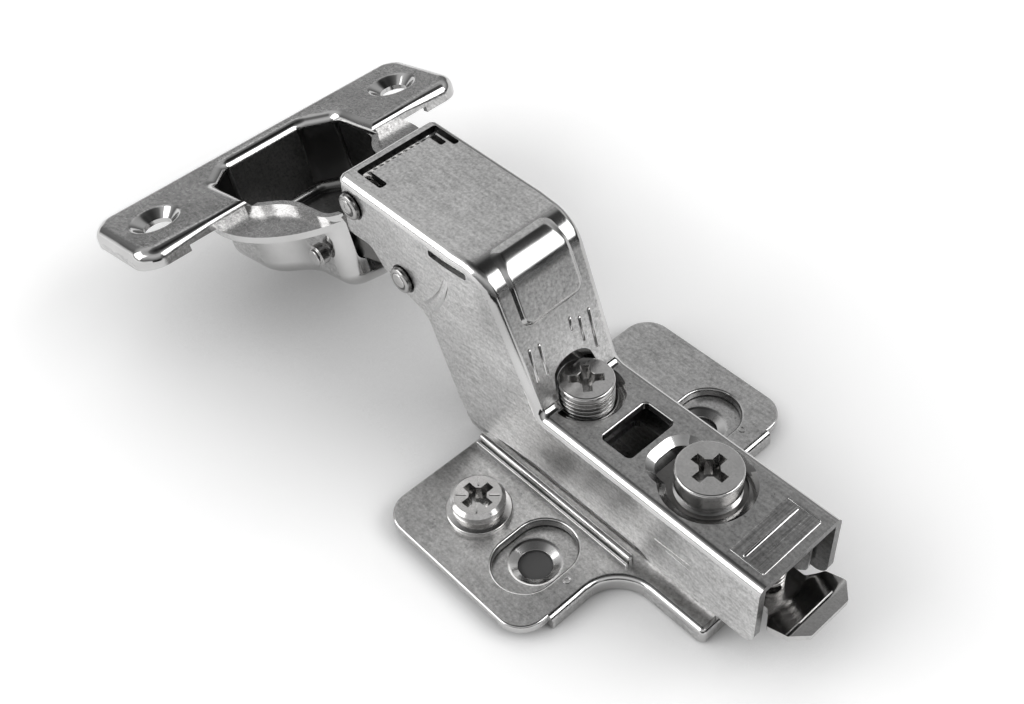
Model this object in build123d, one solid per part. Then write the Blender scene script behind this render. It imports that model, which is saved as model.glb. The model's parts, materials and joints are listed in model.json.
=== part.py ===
from build123d import *
import math
import os

# Concealed cup hinge, millimetres, +Z away from the cabinet side, cup towards -X.
# X = 0 is the middle of the plate's wings and Z = 0 the face that meets the cabinet.
# The door side stands open: closing turns the cup about +Y.

os.makedirs("parts", exist_ok=True)

# ---- fixing plate and cross plate
PLATE_SHEET = 1.2
FIXING_SPACING = 32.0
FIXING_X = 6.0
FIXING_HOLE_D = 4.6
FIXING_SINK_D = 7.6
FIXING_SINK_DEPTH = 0.75
WING_LENGTH = 27.5
WING_SPAN = 51.6
WING_CORNER_R = 4.0
PLATE_GAP = 0.2
SKIRT_LIFT = 0.25
SKIRT_CLEARANCE = 0.15
HEIGHT_TRAVEL = 2.0
OPENING_WIDTH = 8.7
OPENING_LENGTH = 12.2
OPENING_EDGE_R = 0.4
WING_EDGE_R = 0.35
CURL_HALF = 20.9
CURL_OUT = 0.65
CURL_R = 0.9
EXTENSION_END_X = 29.0
EXTENSION_HALF = 9.3
EXTENSION_BLEND_R = 5.5
RAIL_START_X = -13.1
RAIL_END_X = 15.9
RAIL_SHEET = 0.9
RAIL_HEIGHT = 1.7
RAIL_LIP_GAP = 0.15
RAIL_LIP = 0.45
RAIL_LIP_HEIGHT = 0.75

# ---- height cam and guide rivets
CAM_X = -4.4
CAM_Y = -16.3
CAM_BASE_D = 9.0
CAM_DISC_D = 7.4
CAM_SHAFT_D = 7.2
CAM_PIN_D = 2.4
CAM_TOP = 6.0
CAM_SWING_DEG = 60.0
SLIDE_CLEARANCE = 0.22
TURN_CLEARANCE = 0.05
RIVET_D = 3.0
RIVET_HEAD_D = 6.0
RIVET_HEAD_H = 0.8
RIVET_XS = {"front": -8.0, "rear": 10.5}

# ---- adapter
ADAPTER_SHEET = 1.1
ADAPTER_HALF = 6.2
ADAPTER_TOP = 13.4
ADAPTER_REAR_X = 33.0
ADAPTER_TOP_START_X = -9.5
ADAPTER_NOSE_X = -19.0
HOOK_CLEARANCE = 0.2

# ---- clip lever
LEVER_SHEET = 1.0
LEVER_X = 26.5
LEVER_Z = 8.4
LEVER_HALF = 4.6
LEVER_EYE_R = 2.4
LEVER_PIN_D = 2.4
FINGER_END_X = 40.1
FINGER_HALF = 5.5
FINGER_RIM_Z = 8.7
FINGER_DEPTH = 2.2
LEVER_SPRING_X = 31.2
LEVER_SPRING_D = 3.6
LEVER_SPRING_WIRE = 0.6
LEVER_SPRING_TURNS = 5

# ---- depth slider and depth cam
SLIDER_THICK = 1.85
SLIDER_LENGTH = 12.4
SLIDER_HALF = 6.3
DEPTH_CAM_X = 20.56
DEPTH_DRUM_D = 8.6
DEPTH_SHAFT_D = 6.2
DEPTH_PIN_D = 2.4
DEPTH_CAM_TOP = 19.6
DEPTH_TRAVEL = 2.5
SEAT_GAP = 0.02

# ---- arm
ARM_SHEET = 1.1
TAIL_TOP = 16.66
TAIL_END_X = 34.95
TAIL_HALF = 7.46
TAIL_LOW_Z = 5.1
FOOT_X = -1.3
CREST_X = -7.7
NOSE_TOP = 36.5
NOSE_HALF = 8.45
NOSE_END_X = -37.9
ARM_EDGE_R = 1.3
WINDOW_X = 8.8
WINDOW_LENGTH = 5.0
WINDOW_WIDTH = 8.2
WINDOW_EDGE_R = 0.25
DISH_WIDE = 1.15
DISH_DEEP = 0.8
SIDE_SCREW_X = -0.28
SIDE_SCREW_D = 7.5
SIDE_SCREW_TOP = 19.3
SIDE_SCREW_NECK_D = 5.0
TILT_CLEARANCE = 0.3

# ---- linkage: pivots as (X, Z)
FRONT_PIN = (NOSE_END_X + 2.3, NOSE_TOP - 3.8)
REAR_PIN = (NOSE_END_X + 12.0, NOSE_TOP - 10.8)
ARM_PIN_D = 2.7
PIN_PROUD = 0.85
PIN_EDGE = 0.3
LINK_EYE_R = 2.25
DEEP_EYE_R = 1.95
OUTER_EAR_HALF = 7.1
OUTER_EAR_SHEET = 1.4
OUTER_TONGUE_HALF = 3.8
INNER_CHEEK_HALF = 5.3
INNER_CHEEK_SHEET = 1.2
OPEN_PIVOT_SIDE = 0.42
OPEN_PIVOT_IN = 1.70
OPEN_PIVOT_OUT = 0.60

# ---- closing spring
COIL_WIRE = 1.0
COIL_CLEARANCE = 0.12
COIL_HALF = 5.2

# ---- cup, in its own frame: u towards the arm, w up from the door plane
CUP_BEYOND_NOSE = 19.94
CUP_BELOW_NOSE = 16.39
CUP_CENTRE = (NOSE_END_X - CUP_BEYOND_NOSE, NOSE_TOP - CUP_BELOW_NOSE)
CUP_TILT_DEG = 15.0
CUP_D = 35.0
CUP_SHEET = 1.0
CUP_DEPTH = 11.8
CUP_BOTTOM_R = 2.8
BOWL_CORNER_R = 3.6
CUP_HOLE_LAND = 10.0
CUP_HOLE_SPACING = CUP_D + CUP_HOLE_LAND
CUP_HOLE_BACK = 9.5
CUP_HOLE_D = 4.4
CUP_DISH_D = 7.7
CUP_DISH_DEPTH = 1.25
CUP_DISH_EDGE_R = 0.8
CUP_DISH_LAND = 0.8
FLANGE_TOP = 1.95
FLANGE_TIP = 7.3
FLANGE_HALF = CUP_HOLE_SPACING / 2 + FLANGE_TIP
FLANGE_BEHIND_CUP = 1.7
FLANGE_BACK_U = -(CUP_D / 2 + FLANGE_BEHIND_CUP)
FLANGE_LOW = -1.0
FLANGE_EDGE_R = 1.1
FLANGE_STEP_FROM = 15.6
FLANGE_STEP_TO = 22.2
FLANGE_FRONT_U = -0.5
MOUTH_RIM_BACK = 2.7
MOUTH_RIM_SIDE = 1.85
MOUTH_BACK_HALF = 7.5
MOUTH_TURN = 6.5
MOUTH_EDGE_R = 0.9
RECESS_HALF = 8.3
RECESS_START_U = 0.3
RECESS_END_U = 5.6
RECESS_TURN_R = 8.0
NOTCH_HALF = 5.9
NOTCH_W = -6.9
NOTCH_DEEP = 6.5
NOTCH_FROM_U = CUP_D / 2 - NOTCH_DEEP
STUB_BEHIND_RIM = 5.0
STUB_UW = (CUP_D / 2 - STUB_BEHIND_RIM, -4.9)
STUB_D = 2.4
STUB_END = 10.6
STUB_COLLAR_D = 3.2
STUB_COLLAR_FROM = 8.75
STUB_COLLAR_TO = 10.1
DEEP_PIN_BEHIND_RIM = 6.5
DEEP_PIN_UW = (CUP_D / 2 - DEEP_PIN_BEHIND_RIM, -8.8)
DEEP_PIN_D = 2.4


def outline(*corners):
    """Closed flat face; a corner is (x, y) or (x, y, radius of its tangent arc)."""
    count = len(corners)
    points = [Vector(c[0], c[1]) for c in corners]
    arcs, joints = [], []
    for i, corner in enumerate(corners):
        here = points[i]
        back = (points[i - 1] - here).normalized()
        ahead = (points[(i + 1) % count] - here).normalized()
        radius = corner[2] if len(corner) > 2 else 0
        if radius:
            half = math.radians(back.get_angle(ahead)) / 2
            reach = radius / math.tan(half)
            bulge = radius / math.sin(half) - radius
            first, last = here + back * reach, here + ahead * reach
            middle = here + (back + ahead).normalized() * bulge
            arcs.append(ThreePointArc(first, middle, last))
            joints.append((first, last))
        else:
            joints.append((here, here))
    runs = []
    for i in range(count):
        start, end = joints[i][1], joints[(i + 1) % count][0]
        if (end - start).length > 1e-6:
            runs.append(Line(start, end))
    return make_face(arcs + runs)


def rectangle(x_low, x_high, y_low, y_high, radius=0):
    """Closed flat face between four limits with equal corner arcs."""
    return outline((x_low, y_low, radius), (x_high, y_low, radius),
                   (x_high, y_high, radius), (x_low, y_high, radius))


def plan_prism(face, z_low, z_high):
    """Plan-view face carried from z_low up to z_high."""
    return extrude(Plane.XY.offset(z_low) * face, amount=z_high - z_low)


def side_prism(face, y_low, y_high):
    """Side-view face (X right, Z up) carried from y_low to y_high."""
    return extrude(Plane.XZ.offset(-y_high) * face, amount=y_high - y_low)


def both_sides(face, y_in, y_out):
    """The same side-view plate on both sides of the middle plane."""
    return side_prism(face, y_in, y_out) + side_prism(face, -y_out, -y_in)


def disc(x, y, diameter):
    return Pos(x, y) * Circle(diameter / 2)


def rod_y(centre, diameter, y_low, y_high):
    """Round bar along Y through a side-view point."""
    return side_prism(disc(centre[0], centre[1], diameter), y_low, y_high)


def rod_z(x, y, diameter, z_low, z_high):
    return plan_prism(disc(x, y, diameter), z_low, z_high)


def rounded(shape, edges, radius):
    return fillet(edges, radius) if edges else shape


def cross_recess(x, y, top, span, slot, depth, turn=0):
    """Tapered cross for a screwdriver, to be cut from a screw's head."""
    arms = rectangle(-span / 2, span / 2, -slot / 2, slot / 2)
    arms += rectangle(-slot / 2, slot / 2, -span / 2, span / 2)
    core = Rot(0, 0, 45) * rectangle(-slot, slot, -slot, slot)
    shape = extrude(Plane.XY * (arms + core), amount=-depth, taper=10)
    return Pos(x, y, top) * Rot(0, 0, turn) * shape


def save(name, shape):
    shape.label = name
    export_step(shape, f"parts/{name}.step")


# ---- places worked out from the sizes above
ROOF_TOP = 2 * PLATE_SHEET + PLATE_GAP
ROOF_LOW = ROOF_TOP - PLATE_SHEET
WING_X = WING_LENGTH / 2
WING_Y = WING_SPAN / 2
BASE_X = WING_X - PLATE_SHEET - SKIRT_CLEARANCE
BASE_Y = WING_Y - PLATE_SHEET - HEIGHT_TRAVEL - SKIRT_CLEARANCE
CAM_THROW = HEIGHT_TRAVEL / math.sin(math.radians(CAM_SWING_DEG))
DEPTH_THROW = DEPTH_TRAVEL / math.sin(math.radians(CAM_SWING_DEG))
RAIL_IN = TAIL_HALF + 0.25
SLIDER_LOW = ADAPTER_TOP + SEAT_GAP
SLIDER_TOP = SLIDER_LOW + SLIDER_THICK
ADAPTER_LOW = ROOF_TOP + SEAT_GAP
TILT = math.radians(CUP_TILT_DEG)
CUP_FRAME = Plane(origin=(CUP_CENTRE[0], 0, CUP_CENTRE[1]),
                  x_dir=(math.cos(TILT), 0, math.sin(TILT)),
                  z_dir=(-math.sin(TILT), 0, math.cos(TILT)))


def cup_point(u, w):
    """Side-view place (X, Z) of a point given in the cup's frame."""
    place = CUP_FRAME.from_local_coords((u, 0, w))
    return (place.X, place.Z)


MOUTH_BACK_U = MOUTH_RIM_BACK - CUP_D / 2
MOUTH_TURN_U = MOUTH_TURN - CUP_D / 2
MOUTH_HALF = math.sqrt((CUP_D / 2 - MOUTH_RIM_SIDE + CUP_SHEET) ** 2 - MOUTH_TURN_U ** 2) - CUP_SHEET
STUB_PIN = cup_point(*STUB_UW)
DEEP_PIN = cup_point(*DEEP_PIN_UW)


# ---------------------------------------------------------------- the plates
def wing_openings(width, length, y_shift=0):
    """Long holes over the two fixing screws, flats along Y."""
    face = rectangle(-width / 2, width / 2, -length / 2, length / 2, width / 2 - 0.01)
    return [Pos(FIXING_X, side * FIXING_SPACING / 2 + y_shift) * face for side in (-1, 1)]


def fixing_plate():
    body = plan_prism(rectangle(-BASE_X, BASE_X, -BASE_Y, BASE_Y, 3.0), 0, PLATE_SHEET)
    for side in (-1, 1):
        y = side * FIXING_SPACING / 2
        body -= rod_z(FIXING_X, y, FIXING_HOLE_D, -1, PLATE_SHEET + 1)
        depth = FIXING_SINK_DEPTH
        sink = Cone(FIXING_HOLE_D / 2, FIXING_SINK_D / 2, depth)
        body -= Pos(FIXING_X, y, PLATE_SHEET - depth / 2) * sink
    pin = CAM_PIN_D / 2
    near = CAM_X - CAM_THROW * math.cos(math.radians(CAM_SWING_DEG)) + pin + 0.3
    far = CAM_X - CAM_THROW - pin - 0.3
    wide = pin + SLIDE_CLEARANCE
    body -= plan_prism(rectangle(far, near, CAM_Y - wide, CAM_Y + wide, wide - 0.05), -1, 9)
    for x in RIVET_XS.values():
        body -= rod_z(x, 0, RIVET_D, -1, PLATE_SHEET + 1)
    notch_y = ADAPTER_HALF + HEIGHT_TRAVEL + HOOK_CLEARANCE
    notch_x = -WING_X + PLATE_SHEET + 2.2
    body -= plan_prism(rectangle(-BASE_X - 1, notch_x, -notch_y, notch_y), -1, 9)
    return body


def skirted_outline(inset):
    """Rear strip of the wings with the rear extension, drawn in by an inset."""
    low, x = WING_X - 3 - 3 * bool(inset), WING_X + CURL_OUT - inset
    half = CURL_HALF + bool(inset)
    side, end = EXTENSION_HALF - inset, EXTENSION_END_X - inset
    blend = EXTENSION_BLEND_R + inset
    return outline((low, -half), (x, -half), (x, -side, blend), (end, -side, 0.8),
                   (end, side, 0.8), (x, side, blend), (x, half), (low, half))


def cross_plate():
    wings = plan_prism(rectangle(-WING_X, WING_X, -WING_Y, WING_Y, WING_CORNER_R),
                       ROOF_LOW, ROOF_TOP)
    wings = fillet(wings.faces().sort_by(Axis.Z)[-1].edges(), WING_EDGE_R)
    curl = plan_prism(skirted_outline(0), SKIRT_LIFT, ROOF_TOP)
    bend = [e for e in curl.faces().sort_by(Axis.Z)[-1].edges()
            if e.center().X > WING_X and abs(e.center().Y) < CURL_HALF - 0.1]
    curl = fillet(bend, CURL_R) - plan_prism(skirted_outline(PLATE_SHEET), -1, ROOF_LOW)
    curl -= plan_prism(rectangle(-WING_X, WING_X - 2.5, -WING_Y, WING_Y), -1, ROOF_LOW)
    body = wings + curl
    for cut in wing_openings(OPENING_WIDTH, OPENING_LENGTH):
        body -= plan_prism(cut, -1, ROOF_TOP + 1)
    rims = [e for e in body.edges() if abs(e.center().Z - ROOF_TOP) < 1e-4
            and abs(e.center().X - FIXING_X) < OPENING_WIDTH / 2 + 0.1
            and abs(abs(e.center().Y) - FIXING_SPACING / 2) < OPENING_LENGTH / 2 + 0.1]
    body = fillet(rims, OPENING_EDGE_R)
    edge, lip = RAIL_IN + RAIL_SHEET, RAIL_IN + RAIL_SHEET + RAIL_LIP_GAP
    for low, high, rise in ((RAIL_IN, edge, RAIL_HEIGHT), (lip, lip + RAIL_LIP, RAIL_LIP_HEIGHT)):
        half = (high - low) / 2
        plan = rectangle(RAIL_START_X, RAIL_END_X, low, high, half - 0.02)
        ridge = plan_prism(plan, ROOF_LOW, ROOF_TOP + rise)
        ridge = fillet(ridge.faces().sort_by(Axis.Z)[-1].edges(), half * 0.7)
        body += ridge + mirror(ridge, Plane.XZ)
    body -= rod_z(CAM_X, CAM_Y, CAM_SHAFT_D + 2 * TURN_CLEARANCE, -1, ROOF_TOP + 1)
    reach = HEIGHT_TRAVEL + RIVET_D / 2 + SKIRT_CLEARANCE
    wide = RIVET_D / 2 + TURN_CLEARANCE
    for x in RIVET_XS.values():
        body -= plan_prism(rectangle(x - wide, x + wide, -reach, reach, wide - 0.05), -1, 9)
    hook_y = ADAPTER_HALF + HOOK_CLEARANCE
    front = rectangle(-WING_X - 1, -WING_X + PLATE_SHEET + 1, -hook_y, hook_y)
    body -= plan_prism(front, -1, ROOF_LOW)
    lever_y = LEVER_HALF + 0.3
    body -= plan_prism(rectangle(LEVER_X - 2.9, LEVER_X + 1.6, -lever_y, lever_y, 0.5), -1, 9)
    return body


def guide_rivet(x):
    shank = rod_z(x, 0, RIVET_D, 0.1, ROOF_TOP + SEAT_GAP)
    low = ROOF_TOP + SEAT_GAP
    head = rod_z(x, 0, RIVET_HEAD_D, low, low + RIVET_HEAD_H)
    head = fillet(head.faces().sort_by(Axis.Z)[-1].edges(), RIVET_HEAD_H * 0.6)
    return shank + head


def height_cam():
    base, disc_r = CAM_BASE_D / 2, CAM_DISC_D / 2
    seat = ROOF_TOP + SEAT_GAP
    profile = outline((0, ROOF_LOW), (CAM_SHAFT_D / 2, ROOF_LOW), (CAM_SHAFT_D / 2, seat),
                      (base, seat), (base, seat + 0.8, 0.25), (disc_r - 0.5, seat + 1.1),
                      (disc_r - 0.5, seat + 1.5), (disc_r, seat + 1.6, 0.2),
                      (disc_r, CAM_TOP - 0.5), (disc_r - 0.5, CAM_TOP), (0, CAM_TOP))
    body = revolve(Plane.XZ * profile, Axis.Z)
    body = Pos(CAM_X, CAM_Y, 0) * body
    body += rod_z(CAM_X - CAM_THROW, CAM_Y, CAM_PIN_D, 0.1, ROOF_LOW)
    return body - cross_recess(CAM_X, CAM_Y, CAM_TOP, 4.6, 1.2, 1.9)


# ---------------------------------------------------------------- adapter and its lever
def adapter():
    low, top = ADAPTER_LOW, ADAPTER_TOP
    front = -WING_X - HOOK_CLEARANCE
    toe = -WING_X + PLATE_SHEET + 0.2
    nose = ADAPTER_NOSE_X
    side = outline((front, low, 0.2), (front, ROOF_LOW - 0.1), (toe, ROOF_LOW - 0.1),
                   (toe, 0.35, 0.3), (nose + 1.2, 0.35, 1.0), (nose, 2.0, 1.0),
                   (nose, 5.2, 1.4), (-13.6, 6.4, 2.5), (ADAPTER_TOP_START_X, top, 1.5),
                   (ADAPTER_REAR_X, top, 0.8), (ADAPTER_REAR_X, 5.6, 1.5),
                   (ADAPTER_REAR_X - 3.2, low, 1.5))
    body = side_prism(side, -ADAPTER_HALF, ADAPTER_HALF)
    long_edges = [e for e in body.edges() if e.length > 30 and e.center().Z > top - 0.01]
    body = fillet(long_edges, 0.9)
    inner = ADAPTER_HALF - ADAPTER_SHEET
    hollow = rectangle(nose - 1, ADAPTER_REAR_X + 1, -1, top - ADAPTER_SHEET)
    body -= side_prism(hollow, -inner, inner)
    x, neck = SIDE_SCREW_X, SIDE_SCREW_NECK_D / 2 + 0.1
    reach = neck + DEPTH_TRAVEL + 0.1
    body -= plan_prism(rectangle(x - reach, x + reach, -neck, neck, neck - 0.05), 5, 20)
    pin = DEPTH_PIN_D / 2
    wide = pin + SLIDE_CLEARANCE
    near = DEPTH_THROW * math.cos(math.radians(CAM_SWING_DEG)) - pin - 0.3
    far = DEPTH_THROW + pin + 0.3
    slot = rectangle(DEPTH_CAM_X - wide, DEPTH_CAM_X + wide, near, far, wide - 0.05)
    body -= plan_prism(slot, 5, 20)
    body -= plan_prism(rectangle(WINDOW_X - 3.2, WINDOW_X + 2.8, -3.2, 3.2, 0.8), 5, 20)
    return body - rod_y((LEVER_X, LEVER_Z), LEVER_PIN_D, -9, 9)


def finger_plate():
    """Concave octagonal finger plate: a trough across the lever, then cut to outline."""
    rim, low = FINGER_RIM_Z, FINGER_RIM_Z - FINGER_DEPTH
    start, end = ADAPTER_REAR_X + 0.6, FINGER_END_X
    sheet = LEVER_SHEET
    path = outline((start - 3.4, low - 0.4), (start + 0.6, low - 0.4, 2.4),
                   (end - 1.9, rim - sheet * 0.9, 1.8), (end, rim - sheet * 0.9),
                   (end, rim), (end - 2.0, rim, 2.0), (start + 1.0, low + 0.7, 1.6),
                   (start - 3.4, low + 0.6))
    strip = side_prism(path, -FINGER_HALF, FINGER_HALF)
    plan = outline((start - 4, -3.4), (start + 0.2, -3.4, 0.5), (start + 1.6, -FINGER_HALF, 0.4),
                   (end - 1.9, -FINGER_HALF, 0.4), (end, -FINGER_HALF + 2.1, 0.4),
                   (end, FINGER_HALF - 2.1, 0.4), (end - 1.9, FINGER_HALF, 0.4),
                   (start + 1.6, FINGER_HALF, 0.4), (start + 0.2, 3.4, 0.5), (start - 4, 3.4))
    return strip & plan_prism(plan, 0, 20)


def clip_lever():
    x, z, r = LEVER_X, LEVER_Z, LEVER_EYE_R
    low = FINGER_RIM_Z - FINGER_DEPTH
    cheek = outline((x - r, z + r, r - 0.1), (x - r, 1.4, 0.3), (x - r - 1.2, 1.25, 0.2),
                    (x - r - 1.2, 0.4, 0.3), (x - 0.2, 0.4, 0.4), (x + 0.2, 4.2, 1.0),
                    (ADAPTER_REAR_X - 2.4, low - 0.4), (ADAPTER_REAR_X - 1.4, low + 0.6),
                    (x + r + 1.4, low + 0.7, 0.8), (x + r, z + r, r - 0.1))
    y_in = LEVER_HALF - LEVER_SHEET
    body = both_sides(cheek, y_in, LEVER_HALF)
    web = rectangle(x + 1.4, ADAPTER_REAR_X - 1.4, low - 0.4, low + 0.6)
    body += side_prism(web, -LEVER_HALF, LEVER_HALF)
    toe = rectangle(x - r - 1.2, x - 0.4, 0.4, 1.25, 0.15)
    body += side_prism(toe, -LEVER_HALF, LEVER_HALF)
    body += finger_plate()
    return body - rod_y((x, z), LEVER_PIN_D + 2 * TURN_CLEARANCE, -9, 9)


def lever_pin():
    end = ADAPTER_HALF - 0.02
    return rod_y((LEVER_X, LEVER_Z), LEVER_PIN_D, -end, end)


def lever_spring():
    """Open coil between the lever's web and the adapter's top."""
    low = FINGER_RIM_Z - FINGER_DEPTH + 0.6 + SEAT_GAP
    high = ADAPTER_TOP - ADAPTER_SHEET - SEAT_GAP
    wire = LEVER_SPRING_WIRE
    mean_r = (LEVER_SPRING_D - wire) / 2
    height = high - low - wire
    path = Helix(pitch=height / LEVER_SPRING_TURNS, height=height, radius=mean_r)
    section = Plane(origin=path @ 0, z_dir=path % 0) * Circle(wire / 2)
    return Pos(LEVER_SPRING_X, 0, low + wire / 2) * sweep(section, path=path)


# ---------------------------------------------------------------- depth slider, cams, screws
def depth_slider():
    x, half = DEPTH_CAM_X, SLIDER_LENGTH / 2
    face = rectangle(x - half, x + half, -SLIDER_HALF, SLIDER_HALF, 1.2)
    body = plan_prism(face, SLIDER_LOW, SLIDER_TOP)
    bore = DEPTH_SHAFT_D + 2 * TURN_CLEARANCE
    return body - rod_z(DEPTH_CAM_X, 0, bore, SLIDER_LOW - 1, SLIDER_TOP + 1)


def depth_cam():
    drum, groove = DEPTH_DRUM_D / 2, DEPTH_DRUM_D / 2 - 0.45
    seat = SLIDER_TOP + SEAT_GAP
    profile = outline((0, SLIDER_LOW), (DEPTH_SHAFT_D / 2, SLIDER_LOW),
                      (DEPTH_SHAFT_D / 2, seat), (drum, seat), (drum, seat + 0.5),
                      (groove, seat + 0.7), (groove, TAIL_TOP + 0.2), (drum, TAIL_TOP + 0.4),
                      (drum, DEPTH_CAM_TOP, 0.3), (0, DEPTH_CAM_TOP))
    body = Pos(DEPTH_CAM_X, 0, 0) * revolve(Plane.XZ * profile, Axis.Z)
    pin_low = ADAPTER_TOP - ADAPTER_SHEET
    body += rod_z(DEPTH_CAM_X, DEPTH_THROW, DEPTH_PIN_D, pin_low, SLIDER_LOW)
    return body - cross_recess(DEPTH_CAM_X, 0, DEPTH_CAM_TOP, 5.0, 1.3, 2.4)


def side_screw():
    """Ridged screw that stands in the adapter's slot and lifts the arm."""
    thread, root, neck = SIDE_SCREW_D / 2, SIDE_SCREW_D / 2 - 0.35, SIDE_SCREW_NECK_D / 2
    foot_top = ADAPTER_TOP - ADAPTER_SHEET - SEAT_GAP
    seat = ADAPTER_TOP + SEAT_GAP
    corners = [(0, foot_top - 0.9), (neck + 1.0, foot_top - 0.9), (neck + 1.0, foot_top),
               (neck, foot_top), (neck, seat), (root, seat)]
    ridge, top = 0.66, SIDE_SCREW_TOP - 0.9
    count = int((top - seat) / ridge)
    pitch = (top - seat) / count
    for i in range(count):
        z = seat + i * pitch
        corners += [(root, z + 0.12 * pitch), (thread, z + 0.35 * pitch),
                    (thread, z + 0.72 * pitch), (root, z + 0.95 * pitch)]
    corners += [(thread, top + 0.05), (thread, SIDE_SCREW_TOP, 0.35), (0, SIDE_SCREW_TOP)]
    body = Pos(SIDE_SCREW_X, 0, 0) * revolve(Plane.XZ * outline(*corners), Axis.Z)
    return body - cross_recess(SIDE_SCREW_X, 0, SIDE_SCREW_TOP, 4.6, 1.2, 2.2, 50)


# ---------------------------------------------------------------- the arm
def arm_top_line(inset):
    """Closed side view of everything under the arm's top, drawn in by an inset."""
    past = 5 * bool(inset)
    front, rear = NOSE_END_X - past, TAIL_END_X + past
    return outline((front, -8), (front, NOSE_TOP - inset, 0 if inset else 1.2),
                   (CREST_X - 1.6 - inset * 0.7, NOSE_TOP - inset, 6.0 - inset),
                   (FOOT_X - inset * 0.55, TAIL_TOP - inset, 1.4 + inset),
                   (rear, TAIL_TOP - inset), (rear, -8))


def arm_plan(inset):
    """Plan of the arm: wide nose, narrower tail."""
    nose, tail = NOSE_HALF - inset, TAIL_HALF - inset
    x0, x1 = NOSE_END_X - 5 * bool(inset), TAIL_END_X + 5 * bool(inset)
    start, end = CREST_X - 8.3, FOOT_X - 1.7
    return outline((x0, -nose), (start, -nose, 12), (end, -tail, 12), (x1, -tail),
                   (x1, tail), (end, tail, 12), (start, nose, 12), (x0, nose))


def arm_side_keep():
    """Side view of what stays of the arm's walls below its top."""
    x, z, low = NOSE_END_X, NOSE_TOP, TAIL_LOW_Z
    return outline((x - 1, z + 3), (x - 1, z - 5.9), (x + 0.1, z - 6.1, 3.0),
                   (x + 0.4, z - 9.5, 2.0), (x + 5.7, z - 9.0, 2.0), (x + 8.3, z - 11.9, 2.0),
                   (x + 16.6, z - 14.7, 3.0), (FOOT_X - 15.1, low + 3.9, 5.0),
                   (FOOT_X - 13.1, low + 0.9, 2.0), (TAIL_END_X - 18.7, low + 0.9, 1.2),
                   (TAIL_END_X - 17.0, low, 1.2), (TAIL_END_X, low, 1.9),
                   (TAIL_END_X + 0.01, TAIL_TOP + 3), (CREST_X + 12, z + 3))


def nose_slots():
    """Bracket-shaped opening round the tab over the spring."""
    x = NOSE_END_X
    bar = rectangle(x + 1.7, x + 3.3, -6.2, 7.3, 0.4)
    near = rectangle(x + 1.7, x + 6.7, -6.2, -4.9, 0.4)
    far = rectangle(x + 1.7, x + 5.7, 5.0, 6.0, 0.3)
    outer = rectangle(x + 1.7, x + 6.9, 6.3, 7.3, 0.4)
    return [bar, near, far, outer]


def keyhole():
    """Opening round the depth cam with its narrower front lobe."""
    lobe = rectangle(DEPTH_CAM_X - 7.16, DEPTH_CAM_X, -3.3, 3.3, 2.4)
    return disc(DEPTH_CAM_X - 0.1, 0, DEPTH_DRUM_D + 1.5) + lobe


def arm():
    outer = side_prism(arm_top_line(0), -NOSE_HALF - 1, NOSE_HALF + 1)
    body = outer & plan_prism(arm_plan(0), -9, NOSE_TOP + 5)
    top_edges = [e for e in body.edges() if abs(e.center().Y) > TAIL_HALF - 0.6
                 and e.center().Z > TAIL_TOP - 1 and abs(e.center().X - NOSE_END_X) > 1
                 and e.center().X < TAIL_END_X - 0.5]
    body = fillet(top_edges, ARM_EDGE_R)
    inner = side_prism(arm_top_line(ARM_SHEET), -NOSE_HALF - 1, NOSE_HALF + 1)
    body -= inner & plan_prism(arm_plan(ARM_SHEET), -9, NOSE_TOP + 5)
    body &= side_prism(arm_side_keep(), -NOSE_HALF - 2, NOSE_HALF + 2)
    for cut in nose_slots():
        body -= plan_prism(cut, NOSE_TOP - 2.0, NOSE_TOP + 1)
    window = rectangle(WINDOW_X - WINDOW_LENGTH / 2, WINDOW_X + WINDOW_LENGTH / 2,
                       -WINDOW_WIDTH / 2, WINDOW_WIDTH / 2, 0.7)
    body -= plan_prism(window, TAIL_TOP - 3, TAIL_TOP + 1)
    rim = [e for e in body.edges() if abs(e.center().Z - TAIL_TOP) < 1e-4
           and abs(e.center().X - WINDOW_X) < WINDOW_LENGTH / 2 + 0.1
           and abs(e.center().Y) < WINDOW_WIDTH / 2 + 0.1]
    body = fillet(rim, WINDOW_EDGE_R)
    dish = loft([Plane.XY.offset(TAIL_TOP - DISH_DEEP) * keyhole(),
                 Plane.XY.offset(TAIL_TOP) * offset(keyhole(), DISH_WIDE)])
    body -= dish + plan_prism(keyhole(), TAIL_TOP - 3, TAIL_TOP + 1)
    bore = SIDE_SCREW_D + 2 * TILT_CLEARANCE
    body -= rod_z(SIDE_SCREW_X, 0, bore, TAIL_TOP - 3, TAIL_TOP + 12)
    cone = Cone(bore / 2, bore / 2 + DISH_WIDE, DISH_DEEP)
    body -= Pos(SIDE_SCREW_X, 0, TAIL_TOP - DISH_DEEP / 2) * cone
    slot = rectangle(CREST_X - 11.6, CREST_X - 4.8, NOSE_TOP - 2.55, NOSE_TOP - 1.45, 0.4)
    body -= side_prism(slot, -NOSE_HALF - 1, NOSE_HALF + 1)
    for pin in (FRONT_PIN, REAR_PIN):
        body -= rod_y(pin, ARM_PIN_D, -NOSE_HALF - 1, NOSE_HALF + 1)
    return body


def arm_pin(centre):
    end = NOSE_HALF + PIN_PROUD
    pin = rod_y(centre, ARM_PIN_D, -end, end)
    return chamfer(pin.faces().sort_by(Axis.Y)[0].edges()
                   + pin.faces().sort_by(Axis.Y)[-1].edges(), PIN_EDGE)


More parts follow.
